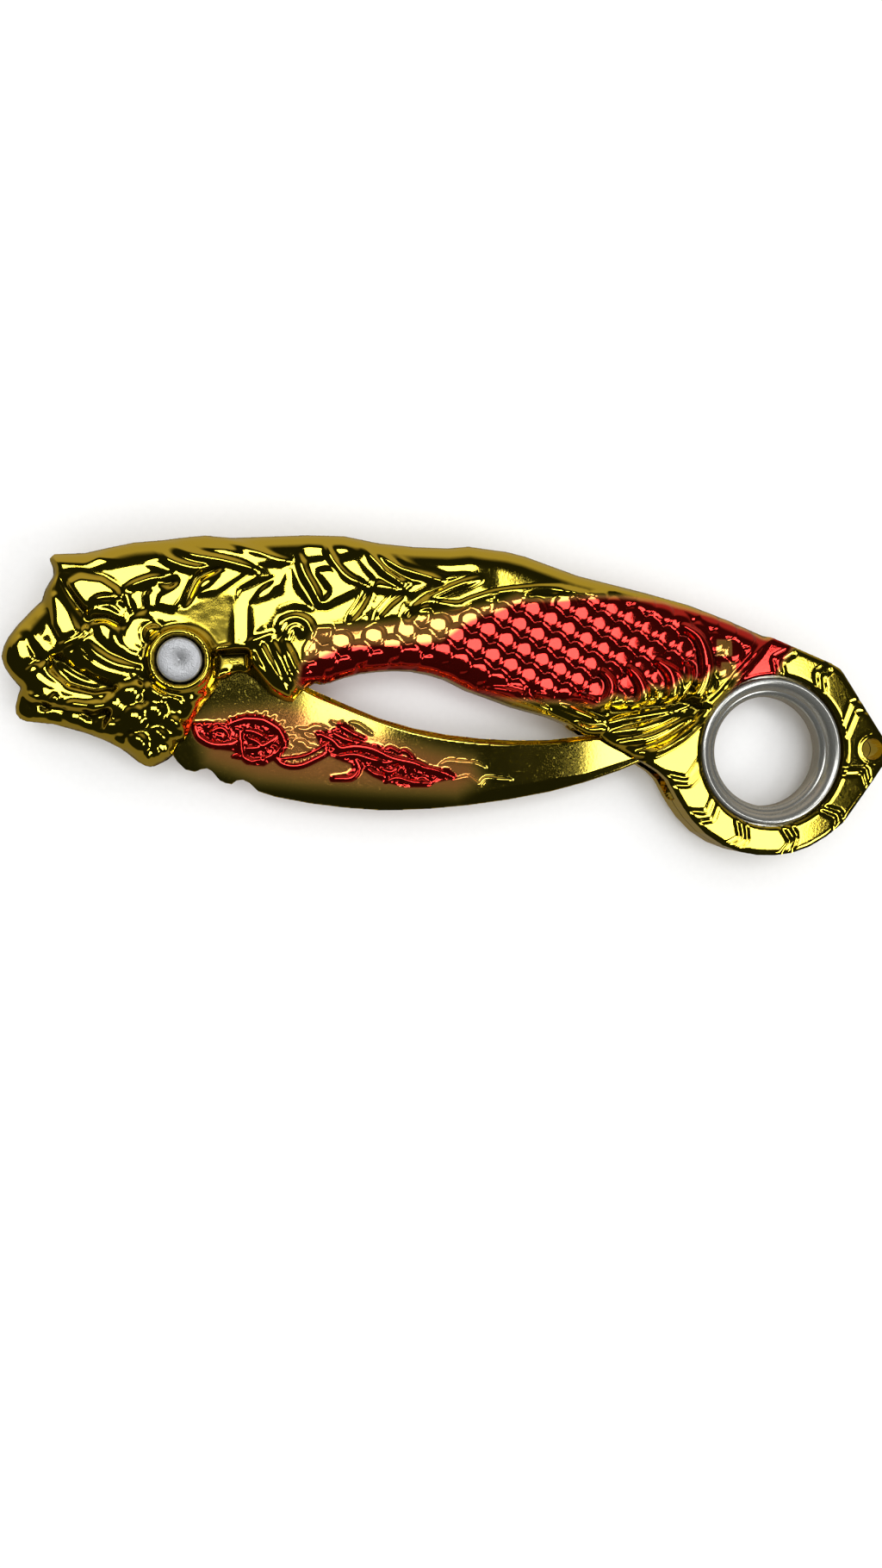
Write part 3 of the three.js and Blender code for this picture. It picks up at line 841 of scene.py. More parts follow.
# %% Muzzle, lips and mouth
def carve_muzzle(c):
    c.crumple([(-25.3, 6.1), (-22.9, 9.3), (-22, 5), (-20.9, 1), (-23.3, 1.4), (-24.9, 3.2)], 0.25, 0.9,
              3, (1.0, 2.4), 0.5)
    c.plate([(-29.3, -0.6), (-28.7, 2.3), (-26.9, 5.2), (-25.5, 5.8), (-24.5, 3.5), (-22.6, 1.1),
             (-22, 0.1), (-23.4, -1.4), (-26.1, -2.7), (-28.2, -2.3)], 5.3, 1.4, dome=0.8)
    c.plate([(-27.7, 2.3), (-26.6, 3.8), (-25.5, 3.4), (-24.1, 0.1), (-25.8, -1.2), (-27, -0.1)], 5.6,
            0.4, (0, 0.02))
    c.ridge([(-25.5, 5.5), (-24.5, 3.2), (-23, 1.2), (-21.7, 0.2)], 0.6, 1.8, 0.2)
    c.plate([(-25.8, -2), (-24.3, -0.7), (-23, -1.1), (-24.6, -2.2), (-25.5, -2.7)], 5.6, 0.4)
    mouth = [(-21.6, 0.4), (-19.1, 1), (-15.6, -1.7), (-12, -3.9), (-10.2, -5), (-14.2, -5.5),
             (-18.4, -4.5), (-21.5, -1.9)]
    c.plate(mouth, 4.6, 0.8)
    c.crumple(mouth, 0.6, 0.9, 5, (2.6, 1.0), -0.6)
    c.plate([(-25, -2.7), (-23.4, -1.7), (-21.5, -3.5), (-18.4, -5), (-14.5, -5.7), (-10.3, -5),
             (-13, -6.7), (-17.6, -6.7), (-21.9, -5.3), (-24, -4.1)], 5.9, 0.7, (0, 0.05), 0.7)
    c.ridge([(-20.3, -0.8), (-17.3, -3.1), (-13.9, -4.3), (-10.5, -4.7)], 0.6, 1.7)
    c.plate([(-19.5, 1.1), (-17.5, 2.2), (-16.1, 0.5), (-13.6, -1.7), (-9.6, -3.4), (-5.9, -2.8),
             (-5.9, -3.8), (-9.9, -4.6), (-14.4, -3.2), (-17.7, -1.2)], 5.7, 0.6, dome=0.6)
    for line in ([(-17, 1.4), (-15.1, -0.7), (-11.8, -2.5), (-7, -3)],
                 [(-15.7, 3), (-13.6, 0.7), (-10.5, -1), (-6.4, -1.7)]):
        c.ridge(line, 0.9, 2.1)
    c.ridge([(-19.5, 1.5), (-19.1, 2.5), (-17.4, 3.3), (-15.9, 4.6), (-15.4, 5.6)], 1.0, 1.3, 0.15)


carve_muzzle(carving)
print("muzzle up to", carving.height.max().round(2), "mm")

# %% [markdown]
# ### Brow
#
# Over the mouth rises the brow, the largest and smoothest of the plates, with a small round
# eye behind it. The big plate is crowned, so it catches a softbox as one broad bright patch,
# and the ribs round the eye are rolled on as cords.


# %% Brow, eye and crest
EYE = (-4.4, 4.3)


def carve_brow(c):
    c.plate([(-20.9, 16.8), (-15.6, 16.5), (-13.5, 17.8), (-10, 17), (-12.2, 15.8), (-13.9, 15.1),
             (-20.1, 14.9)], 5.5, 0.6, (-0.02, 0.03))
    c.plate([(-20.3, 14.9), (-15.8, 15.2), (-12.5, 14), (-9.5, 11.5), (-9.2, 9.7), (-11.8, 10.1),
             (-13.9, 9.8), (-15.5, 8.2), (-16.3, 4.4), (-19.6, 3.2), (-21.2, 6.1), (-22, 9.2),
             (-21.6, 12.1)], 6.3, 1.6, dome=0.9)
    c.plate([(-21.2, 10.7), (-20.1, 11), (-18.1, 8.1), (-16.5, 4.8), (-17.6, 3.8), (-19.6, 3.2),
             (-20.9, 5.6)], 6.6, 0.4, (-0.02, 0.02))
    c.plate([(-18.4, 12.7), (-16.4, 13.9), (-12.7, 13.6), (-10.1, 11.9), (-9.5, 10.3), (-11.8, 9.8),
             (-14.2, 9.4), (-15.7, 8.5), (-17.1, 10.5)], 6.8, 0.4, (0, 0.02))
    c.ridge([(-20, 14.4), (-18.1, 11), (-15.6, 7.5), (-14.9, 5.3)], -0.7, 1.5, 0.15)
    c.plate([(-15, 7.6), (-13.9, 9.1), (-11.8, 9.3), (-10, 7.7), (-9.6, 6.5), (-11.4, 7.4), (-13.6, 7.5)],
            6.5, 0.6, (0, 0.05))
    c.ridge([(-15.3, 7), (-13.6, 9.7), (-11.1, 9.9), (-9.3, 8.1), (-9.3, 5.7)], 0.5, 1.5, 0.2)
    c.ridge([(-15.4, 6.2), (-13.4, 7), (-11, 6.6), (-9.2, 5.4)], -0.7, 1.2, 0.2)
    c.plate([(-14, 6.2), (-12.3, 6.5), (-11, 5.4), (-10.7, 3.4), (-9.6, 1.2), (-11.5, 1.9), (-13.3, 3.9)],
            6.4, 0.6, (0.03, 0.06))
    c.ridge([(-10.7, 5.5), (-10.2, 3.4), (-8.6, 1.2), (-5.8, 0.1)], 0.8, 1.7, 0.2)
    c.ridge([(-9.3, 5.3), (-8.6, 3.1), (-7.2, 1.4), (-5.2, 0.8)], 0.6, 1.1, 0.2)
    c.plate([(-9.2, 5.1), (-7.9, 7.2), (-6.2, 7.6), (-4.5, 6.8), (-3.2, 5.4), (-4.6, 2.9), (-6.2, 1.4),
             (-8, 2.5)], 6.3, 0.6, (0, 0.02))
    c.ball(*EYE, 1.6, 0.8, moat=0.5)


carve_brow(carving)
print("brow up to", carving.height.max().round(2), "mm")

# %% [markdown]
# ### Temple
#
# Behind the brow narrow plates and ribs lead back to the neck. One plate between them is
# duller than the rest, so it gets a fine grain and some frost.


# %% Plates behind the brow
def carve_temple(c):
    c.plate([(-5.7, 16.1), (-4, 16.9), (-1.1, 16.8), (0.2, 15.8), (-1.4, 14.8), (-3.6, 15.2)], 5.7, 0.5,
            (0, 0.04))
    c.plate([(-8.6, 11.4), (-4.3, 12.5), (-5, 8.4), (-7.5, 7.9)], 5.6, 0.6, (0.25, -0.1))
    c.plate([(-5.3, 8.4), (-5.5, 11), (-4.4, 12.8), (-4.5, 8.7)], 6.1, 0.35, (-0.05, 0.05))
    c.ridge([(-9.4, 11.8), (-8.6, 10), (-7.8, 7.9)], 0.7, 1.0, 0.2)
    c.ridge([(-9.4, 11.7), (-6.9, 12.9), (-4.3, 13.8), (-2.3, 13.9)], 0.7, 1.3, 0.3)
    c.plate([(-4, 9.2), (-3.3, 11.1), (-1.4, 12.1), (-0.1, 13.2), (-1.4, 14.5), (-1.1, 15.4), (4.9, 15.5),
             (2.2, 14.4), (1, 11.2), (-1, 8.5)], 6.1, 0.5, (0.0, 0.04))
    c.ridge([(-3.4, 13.1), (-1.7, 13.1), (-0.3, 13.8)], -0.8, 1.3, 0.3)
    for line in ([(-3.5, 19.1), (-1.7, 16.9), (0.9, 16), (4.6, 15.5), (7.2, 15.5)],
                 [(-1.5, 20), (2, 18.1), (7.8, 17), (13.4, 15.5)],
                 [(7.3, 21.1), (11.9, 19.3), (16, 17.6), (19.2, 17.3)]):
        c.ridge(line, 0.75, 1.6, 0.25)
    c.plate([(3.5, 19.3), (7.8, 19.5), (11.9, 18.6), (17.8, 17.4), (18.5, 16.8), (13.4, 16.5),
             (7.8, 18.3)], 5.9, 0.5, (0, 0.05))
    c.plate([(3, 11.3), (5, 12.8), (7.2, 15.1), (7.8, 15.8), (12, 15.6), (9.3, 13.7), (6.1, 11.4)], 6.1,
            0.5, (0, 0.03))
    c.plate([(0.4, 9.5), (2, 10.6), (3.9, 9.9), (3, 8.8), (1, 8.5)], 5.9, 0.5, (0, 0.05))
    c.ridge([(0.8, 9.1), (2, 12.1), (3.5, 14.4), (7.2, 16.1)], -0.9, 1.4, 0.2)
    temple = [(-0.4, 7.7), (3.7, 9.8), (7.8, 11.3), (9.1, 9.9), (8.6, 2.8), (6, 2.2), (4.5, 4.7)]
    c.plate(temple, 5.5, 1.2, (0.03, -0.11))
    c.crumple(temple, 0.10, 0.5, 8, (2.2, 1.0), -0.5)
    c.stain(temple, 1.0, 2.0, "frost")
    c.plate([(5.3, 1.6), (11.8, 1.9), (11.5, -1.8), (7.6, -1.7), (5.3, -2.9)], 3.4, 0.8)


carve_temple(carving)
print("casting now", carving.height[edge_depth > 0].mean().round(2), "mm high on average")

# %% [markdown]
# ### Beard
#
# The beard is a heap of round lumps that ends in combed tufts. Each lump is one ball, kept
# in a table of place, radius and height, because only those three change.


# %% Beard lumps and tufts
def carve_beard(c):
    c.plate([(-26.7, -6), (-24.2, -6.8), (-21.4, -8), (-14.3, -9), (-11.5, -8.4), (-12.9, -12.1),
             (-18.6, -11.3), (-25.7, -10.3), (-27.1, -8.7)], 4.4, 0.9, dome=1.0)
    c.ridge([(-25.6, -6), (-23.9, -7.3), (-23.6, -9.2), (-24.5, -10.2)], 0.8, 1.6, 0.2)
    c.ridge([(-23.4, -9.8), (-21.7, -8.9), (-19.7, -9.3), (-17.7, -11.2)], 0.8, 1.5, 0.2)
    c.ridge([(-19.4, -8.6), (-17.7, -7.7), (-15.4, -8), (-13.4, -7.5)], 0.8, 1.6, 0.2)
    c.ridge([(-22.1, -7.7), (-20.8, -6.8), (-20.5, -5.8)], 0.6, 1.2, 0.2)
    for spot, radius, rise in BEARD:
        c.ball(*spot, radius, rise)
    for line in TUFTS:
        c.ridge(line, 0.8, 1.7, 0.35)
    c.crumple([(2.3, -3.7), (5.2, -3.1), (4.4, -6.7), (1.8, -11.1), (-2.2, -12.3), (-2.9, -10.5),
               (0.3, -8.2)], 0.3, 0.9, 11)
    for line in ([(-5.6, -15.6), (-5.3, -17.7)],
                 [(-3.8, -15), (-3.5, -17.4)],
                 [(-2.4, -14.7), (-1.9, -16.8)],
                 [(-1, -13.8), (-1.1, -15.9)],
                 [(0.6, -12), (0.3, -14.1)]):
        c.ridge(line, 0.7, 1.3, 0.4)


BEARD = [
    ((-17.6, -9.7), 2.0, 1.0),
    ((-13.7, -8.8), 1.9, 0.9),
    ((-12.8, -11.9), 2.4, 1.3),
    ((-8.5, -5.4), 2.6, 1.2),
    ((-10.8, -7.8), 2.0, 1.0),
    ((-7.6, -9.8), 2.4, 1.3),
    ((-7.5, -14.3), 2.1, 1.1),
    ((-3.8, -5.4), 2.2, 1.0),
    ((-4.4, -8.6), 2.0, 1.0),
    ((-10.5, -14.7), 1.5, 0.8),
    ((-10, -11.5), 1.6, 0.9),
    ((-15.6, -11.2), 1.5, 0.8),
]
TUFTS = [
    [(-3.6, -3.8), (-1.4, -5.8), (1, -8.2)],
    [(-1.9, -3.5), (0.4, -5.4), (3, -7.1)],
    [(-4.3, -11.7), (-2.8, -13.2), (-1.1, -14.1)],
    [(-2, -9.7), (-0.5, -10.8), (0.9, -11.7)],
    [(-0.5, -4.9), (1.8, -6.4), (4.2, -6.4)],
    [(0.8, -3.7), (3, -4.6), (5.3, -4)],
]
carve_beard(carving)
print("beard lumps", len(BEARD), "and tufts", len(TUFTS))

# %% [markdown]
# ## Cheek, horn folds and the second row of plates
#
# Behind the head a collar of pointed plates lies along the back, each with its tip towards
# the ring. Below the cheek plate four folds run down to a point, like the lower half of a
# horn, beside a small curled knob.


# %% Cheek and neck plates
def carve_neck(c):
    c.plate([(10, 12.2), (13.6, 14), (16, 14.4), (13.3, 11.7), (11.6, 9.6), (11.7, 3.2), (9.9, 2.6),
             (8.9, 5.4), (9.1, 9.8)], 5.6, 0.6, (0.1, 0))
    c.plate([(12, 3.8), (11.7, 9.6), (13.3, 11.4), (16.9, 12.9), (17.8, 15), (17, 16.3), (19.2, 16.8),
             (20.3, 13), (22.3, 10.2), (22.6, 9), (20, 8.8), (17.6, 7.9), (16.1, 5.4), (16.3, 4.6)], 6.0,
            0.6, (0, 0.03), 0.3)
    c.ridge([(16.5, 4.5), (17.7, 6.9), (20, 7.6), (21.9, 6.5), (22.2, 4.1)], 0.9, 1.7, 0.15)
    c.ridge([(18, 3.3), (18.8, 5.6), (20.2, 6), (21, 4.4)], 0.7, 1.4, 0.2)
    c.ridge([(11.5, 3.1), (14, 3.9), (16.5, 4.5)], 0.6, 1.2, 0.2)
    for line in ([(11.4, 2.1), (13.3, -1.1), (15.9, -4.4), (18.9, -6.7)],
                 [(13.6, 2.9), (15.2, -0.4), (17.1, -3.8), (19.2, -6.6)],
                 [(15.5, 3.5), (17, 0.4), (18.3, -2.6), (19.9, -4.8)],
                 [(17.4, 3.8), (18.6, 0.9), (19.9, -1.8), (21.9, -3.1)]):
        c.ridge(line, 1.3, 1.9, 0.35)
    c.plate([(20.1, 18.8), (21.8, 19.8), (24.3, 19.5), (25.2, 18.1), (22.8, 17.6), (20.7, 17.4)], 5.2,
            0.5, (0, 0.05))
    c.plate([(25.9, 19.6), (27.7, 20.1), (29.5, 19.1), (28.5, 18.4), (27.1, 17.9)], 5.2, 0.5, (0, 0.05))
    c.plate([(27.4, 17.6), (30.2, 18.3), (31.6, 16.3), (33.4, 14.3), (32.6, 13.5), (29.6, 15),
             (28.2, 16.1)], 5.7, 0.5, (0, 0.06))
    c.plate([(23.1, 15.7), (25.6, 16.4), (27.7, 15.1), (30.4, 13.2), (32.2, 13.2), (29.9, 12),
             (24.9, 9.5), (24.1, 10.1), (25.8, 12.2)], 5.9, 0.6, (0, 0.02))
    flap = [(28.7, 7.6), (31.1, 10.5), (32.9, 12), (34.3, 11.8), (32, 7.4), (29.9, 6.6)]
    c.plate(flap, 5.6, 0.5, (0.05, -0.02))
    c.crumple(flap, 0.25, 0.5, 17, (1, 2.5), 0.8)
    c.plate([(33.4, 7.7), (35.6, 10.3), (37.8, 11.4), (38.8, 11.9), (38.2, 8.5), (37.8, 7.6)], 5.6, 0.5,
            (0.03, 0.0))
    c.plate([(33.1, 13.1), (34.1, 14.2), (36.6, 13.5), (38.2, 12.7), (36.4, 12.3), (33.7, 12.5)], 6.0,
            0.4, (0, 0.05))
    c.plate([(34.1, 16.1), (36.6, 15.6), (38.7, 14.6), (40.2, 14), (37.8, 13.5), (35.7, 14.3)], 5.9, 0.4,
            (0, 0.05))
    c.plate([(37.5, 18.4), (41.4, 16.9), (46.3, 15.5), (51.2, 15.9), (46.6, 14.6), (45.4, 13.8),
             (41.7, 15.1), (39, 16.4)], 5.8, 0.5, (0, 0.05))
    c.plate([(38.8, 12.3), (40.3, 14.1), (43.2, 14.5), (45.4, 13.8), (42.5, 13), (39.9, 11.6)], 5.8, 0.4,
            (0, 0.04))
    for line in ([(24.9, 20.8), (26.1, 17.6), (28.9, 14.7), (32.6, 13.1)],
                 [(31.2, 20.7), (34.2, 16.9), (38.7, 13.2)],
                 [(33.9, 19.2), (38.4, 16.2), (45.7, 14.2)]):
        c.ridge(line, 0.8, 1.2, 0.2)
    c.ridge([(20.3, 18.9), (21, 15.7), (22.8, 12.4), (24, 9.5)], 0.8, 1.6, 0.2)
    c.ridge([(32.6, 12.6), (30.8, 9.6), (28.7, 6.9)], -0.8, 1.3, 0.2)
    c.ridge([(38.7, 12.4), (36, 10.3), (33.5, 7.3)], -0.7, 1.2, 0.2)
    c.ridge([(45.7, 13.5), (41.7, 10.4), (38.7, 7.3)], -0.9, 1.5, 0.2)
    c.ridge([(52.4, 15.1), (47.8, 13.5), (43.2, 11.3), (40.2, 9.2)], 0.8, 1.6, 0.2)


PLATE_BLUR = 0.26     # millimetres; takes the knife edges off the plates
carve_neck(carving)
carving.height = soften(carving.height, PLATE_BLUR / carving.pitch)
print("plates softened, crest at", carving.height.max().round(2))

# %% [markdown]
# ## Scales
#
# The scales sit on a slanted lattice: one step along the row, one down to the next row. They
# are laid from the tail towards the head, so each covers the root of the one behind it, as
# on a fish. Each is a shallow dome that rises towards its free edge, with a fine raised rim.

# %% Scales
SCALE_FIELD = [(21, 2.4), (23.1, 6), (31.2, 6.6), (33.9, 7.5), (38.3, 7.6), (40.4, 9.1), (48.2, 9.7),
               (52.6, 11), (59.7, 12.6), (67.4, 13.1), (73, 12.9), (77.8, 13.6), (84.2, 12.8),
               (90.7, 11.3), (98.1, 9), (106.9, 5.9), (103.9, 2.6), (100, -1.5), (97, -5), (93.3, -8.4),
               (89.2, -6.2), (84.3, -7.5), (80.3, -9.3), (74.7, -6.3), (66.7, -6.3), (58.8, -5.4),
               (49.5, -4.6), (46.4, -3.1), (40.3, -1.5), (31.2, -2), (23.4, -4.2), (21, -1.5)]
ROW_STEP = np.array((3.3, -1.75))
DOWN_STEP = np.array((-2.45, -2.8))
SCALE_START = np.array((56.2, 8.8))
SCALE_RADIUS = 2.15
TAILWARD = math.radians(-33)


def carve_scales(c):
    field = pairs_of(SCALE_FIELD)
    sunk = c.height - 0.35 * step(depth_inside(c.x, c.y, field) / 1.2 + 0.2)
    spots = [SCALE_START + i * ROW_STEP + j * DOWN_STEP for i in range(-24, 28) for j in range(-16, 16)]
    spots = [p for p in spots if depth_inside(p[0], p[1], field) > 0.3]
    spots.sort(key=lambda p: -(p[0] * math.cos(TAILWARD) + p[1] * math.sin(TAILWARD)))
    inside = step(depth_inside(c.x, c.y, field) / 0.6 + 0.5)
    bare = c.height.copy()
    c.height = sunk.copy()
    for x, y in spots:
        c.scale(sunk, x, y, SCALE_RADIUS, TAILWARD)
    c.height = bare * (1 - inside) + c.height * inside
    c.bed = bare + 0.3 * inside
    return len(spots)


print("scales", carve_scales(carving))

# %% [markdown]
# ## Fin rays and belly folds
#
# Near the ring six crescent rays sweep down over the scales, and below them a fan of soft
# folds gathers towards the belly. The smooth back keeps one long ridge over the scales.


# %% Rays, folds and back ridge
def carve_fins(c):
    c.ridge([(39.9, 9.7), (43.3, 10.5), (47.9, 10.1), (50.7, 11.1), (54.9, 12.4), (59.7, 13.1),
             (65, 13.5), (71.7, 12.7)], 0.55, 1.5, 0.15)
    for line, width in RAYS:
        c.ridge(line, 1.5, 1.2 * width, 0.5)
    c.plate([(60.6, -5.7), (68.5, -6.3), (74.9, -7.8), (82.2, -7.4), (91.1, -6.1), (94.4, -7.7),
             (91.1, -11.3), (86.3, -14.6), (82.2, -16.5), (77.3, -14), (73.3, -12.2), (68.5, -9.7)], 4.3,
            2.0, dome=0.8)
    for line in FOLDS:
        c.ridge(line, 0.9, 2.0, 0.35)
    c.ridge([(106.3, 4.7), (102.8, 0.6), (98.6, -4.2), (94.3, -8.6), (90.2, -12.4), (85.3, -15.6)], 0.35,
            1.5, 0.1)


RAYS = [
    ([(89.4, 7.2), (92.6, 4.8), (94, 0.1), (93, -4.3), (89.9, -7.7)], 2.3),
    ([(84.5, 0.9), (87.1, -1.5), (87.6, -4.9), (84.9, -9.3)], 2.0),
    ([(79.1, -0.3), (81.3, -2.8), (82, -6.2), (78.8, -10)], 1.9),
    ([(74.3, -1), (76, -3.2), (75.7, -5.6), (73.3, -8.5)], 1.7),
    ([(85.5, 0.6), (88.4, -1.5), (89.3, -4.3), (88.5, -7.1)], 1.3),
    ([(90.7, 0.4), (90.7, -2.7), (88.8, -6.2)], 1.2),
]
FOLDS = [
    [(75.8, -10.6), (80.4, -9.3), (86.9, -8.1), (92, -6.8)],
    [(76.1, -12.5), (82.1, -11.5), (89.4, -8.7)],
    [(77.4, -14.3), (84.5, -13.1), (92, -9.3)],
    [(80.6, -16.5), (87.8, -14), (94, -9.6)],
    [(66.5, -7.2), (69.7, -6.3), (73.2, -7.2), (76.1, -8.7)],
    [(62.4, -5.4), (68.4, -7.8), (73.9, -10)],
    [(69.1, -10.6), (72.3, -11.9), (75.8, -11.5)],
    [(52.7, -4.5), (58.9, -5.7), (65.2, -8.2)],
]
carve_fins(carving)
print("fin rays", len(RAYS), "and belly folds", len(FOLDS))

# %% [markdown]
# ## The ring plate
#
# The plate round the ring is flat, so it carries the clearest reflections. Pairs of fine
# grooves cross it as bent arrows, about forty degrees apart, a thin line circles the lanyard
# hole, and a small chamfer leads into the liner's seat.


# %% Arrow grooves
def carve_ring_plate(c):
    for outer, inner in ARROWS:
        for line in (outer, inner):
            for a, b in zip(line, line[1:]):
                c.ridge([a, b], -0.25, 0.7, 0.05)
    x, y, hole = LANYARD
    r = hole + 0.9
    angles = [math.radians(a) for a in range(40, 321, 20)]
    circle = [(x + r * math.cos(a), y + r * math.sin(a)) for a in angles]
    c.ridge(circle, -0.15, 0.4, 0.05)
    seat = np.hypot(c.x - RING[0], c.y - RING[1])
    lip = 0.45
    at = np.abs(seat - RING_SEAT) < lip
    c.height[at] -= (lip - (seat[at] - RING_SEAT)).clip(0, 2 * lip) * 0.8


ARROWS = [
    ([(111.1, 3.8), (107.1, 1.7), (107.8, -1.6)], [(111.6, 2.7), (108.9, 1), (109.6, -1.7)]),
    ([(117.7, 0.7), (115.5, -0.9), (115.9, -3.9)], [(118.7, -0.2), (117, -1.7), (117.4, -5)]),
    ([(125.1, -5.9), (122.5, -6.4), (120.9, -10.8)], [(126, -8.2), (123.6, -8.3), (121.6, -13)]),
    ([(121.1, -18.5), (125.6, -18.6), (126.4, -21.7)], [(120.6, -20.1), (124.7, -19.9), (125.6, -22.7)]),
    ([(116.8, -25.7), (120.7, -26.8), (121.4, -28.9)], [(116.2, -26.5), (119.7, -28.1), (119.3, -30.4)]),
    ([(108.8, -29.3), (110.9, -32.4), (109.2, -34.6)], [(110.7, -29), (112.2, -31.3), (111.2, -34.3)]),
    ([(100.3, -28), (101, -31.5), (97.5, -33.4)], [(102.1, -28.3), (102.5, -32.1), (99.5, -34.2)]),
    ([(96, -23.3), (94.5, -26.8), (90.9, -26.5)], [(97.1, -24.8), (95.8, -28.3), (92.2, -28.7)]),
    ([(93.4, -16.7), (90.8, -20.5), (85.6, -19.4)], [(94.1, -18.9), (91.3, -21.9), (87.2, -21.7)]),
]
carve_ring_plate(carving)
print("arrow grooves", 2 * len(ARROWS))

# %% [markdown]
# ## Collar, lacquer and painted shade
#
# A turned collar stands round the pivot. Then the colour is laid on: red over the scales and
# the first of the ring plate, gold left bare at the upper scales and the fin tips. Where the
# surface lies deeper than the surface round it, a recess mask marks it for painted shade.


# %% Collar and paint
COLLAR = [(0, 5.2), (4.15, 5.2), (4.25, 6.95), (4.55, 7.15), (4.85, 7.2), (5.15, 7.1), (5.45, 6.6),
          (5.65, 6.1), (6.0, 6.0), (6.3, 5.7)]
COLLAR_FOOT = 5.9


def raise_collar(c):
    r = np.hypot(c.x, c.y)
    share = 1 - step((r - COLLAR_FOOT) / 0.7)
    c.height = c.height * (1 - share) + np.interp(r, *zip(*COLLAR)) * share


COPPER_FIELD = [(21, 2.4), (23.1, 6), (31.2, 6.6), (38.8, 7.6), (48.3, 9.7), (55, 10.8), (58.9, 12.4),
                (65.1, 10.3), (50.3, 5.3), (38.8, 1.4), (21, -1.5)]
RED_FIELD = [(20.7, -0.6), (28.2, 2.8), (38.8, 3.2), (45.2, 3.9), (50.3, 7.6), (55, 9.2), (58.9, 10.8),
             (65.1, 11.4), (71.5, 12.1), (77.9, 12.2), (85.9, 11.5), (95.7, 9.1), (103.2, 6.4),
             (107.4, 4.2), (104.7, 2.2), (101.1, -1), (98.5, -2), (95.5, -0.2), (92.9, -2.7),
             (89.6, -1.8), (87, -4.3), (83.4, -3.7), (80.5, -6.2), (76.7, -5.3), (73.1, -7.5),
             (66.8, -6.6), (58.9, -6.4), (49.5, -5.5), (46.4, -4), (40.3, -2.5), (31.2, -3.2),
             (23.4, -5.1), (19.9, -4)]
RED_PLATE = [(99, -5.1), (101.3, -0.4), (104.9, 3.5), (107.5, 5.7), (111.2, 3.8), (108.9, 0.6),
             (107.6, -2.5), (102.6, -3.5)]
BARE_SPOTS = [(97.4, 3.3), (98.3, -0.8)]


def lay_lacquer(c):
    c.stain(COPPER_FIELD, 0.40, 2.0)
    c.stain(RED_FIELD, 1.0, 2.2)
    c.stain(RED_PLATE, 1.0, 1.8)
    for x, y in BARE_SPOTS:
        c.stain([(x - 1.5, y - 1.5), (x + 1.5, y - 1.5), (x + 1.5, y + 1.5), (x - 1.5, y + 1.5)], 0.35, 0.6)


# Painted shade: places lower than their blurred surroundings get a mask that darkens the plating there.
def mark_hollows(c, reach=0.9):
    sunk = soften(c.height, reach / c.pitch) - c.height
    c.hollow = step((sunk - 0.04) / 0.5)


LAST_BLUR = 0.19      # the plating rounds every edge a little
raise_collar(carving)
lay_lacquer(carving)
mark_hollows(carving)
carving.height = soften(carving.height, LAST_BLUR / carving.pitch)
print("relief from", carving.height[edge_depth > 0].min().round(2), "to", carving.height.max().round(2))

# %% [markdown]
# ## Casting the two halves
#
# The inner faces differ a little: the back half takes the detent leaf in a pocket and has
# three sunk seats for the screws that hold the halves together.


# %% Front and back half
SEAM = 0.15           # half the gap between the castings
SKIN = 0.5            # least thickness left over a cut
SLOT_ROOF = 2.2       # half the blade slot's width
STOP_PIN = node_centre("stop_pin")[0][:2]
STOP_WELL = 3.0       # the slot's round widening at the stop pin
STOP_HOLE = (1.9, 4.0)        # radius and level, as in the next three
LINER_GROOVE = (15.1, 1.5)
SCREW_HOLE = (1.4, 2.9)
SCREW_SEAT = (2.4, 2.4)
LEAF_POCKET = (0.3, 4.3)      # room round the leaf and top of its pocket
LEAF_FACE = -3.4
SCREWS = [node_centre(f"body_screw_{i}")[0][:2] for i in (1, 2, 3)]


def bored(c, extra=()):
    """How deep each place lies inside the outline and outside every bore."""
    inside = edge_depth.copy()
    for x, y, r in [*BORES, *extra]:
        inside = np.minimum(inside, np.hypot(c.x - x, c.y - y) - r)
    return inside


def sink(c, heights, centre, hole):
    radius, top = hole
    heights[np.hypot(c.x - centre[0], c.y - centre[1]) < radius] = top


def inner_face(c, side):
    node = "front_handle_half" if side > 0 else "back_handle_half"
    low = np.full(c.x.shape, SEAM)
    bores = [(0, 0, PIVOT_BORE), (*STOP_PIN, STOP_HOLE[0])]
    slot = depth_inside(c.x, c.y, read_rim(node, side * SLOT_ROOF, None, bores))
    # Where the slot reaches the outline, the points just outside take its level as well.
    low[(slot > 0) | ((slot > -0.7) & (edge_depth < 0.35))] = SLOT_ROOF
    sink(c, low, STOP_PIN, (STOP_WELL, SLOT_ROOF))
    sink(c, low, STOP_PIN, STOP_HOLE)
    sink(c, low, RING, LINER_GROOVE)
    return low


def cast_half(c, name, inside, top, low, stands_for, mirror=False):
    mesh = cast_piece(c, name, inside, top, low, mirror)
    add_piece(name, mesh, "handle", "handle", stands_for)
    print(name, len(mesh.polygons), "faces")


def cast_halves(c):
    low = inner_face(c, 1)
    for screw in SCREWS:
        sink(c, low, screw, SCREW_HOLE)
    cast_half(c, "front_casting", bored(c), np.maximum(c.height, low + SKIN), low, "front_handle_half")

    low = inner_face(c, -1)
    room, pocket_top = LEAF_POCKET
    low[depth_inside(c.x, c.y, read_rim("detent_leaf", LEAF_FACE)) > -room] = pocket_top
    top = np.maximum(c.height, low + SKIN)
    for screw in SCREWS:
        sink(c, top, screw, SCREW_SEAT)
    inside = bored(c, [(x, y, SCREW_HOLE[0]) for x, y in SCREWS])
    cast_half(c, "back_casting", inside, top, low, "back_handle_half", mirror=True)


cast_halves(carving)

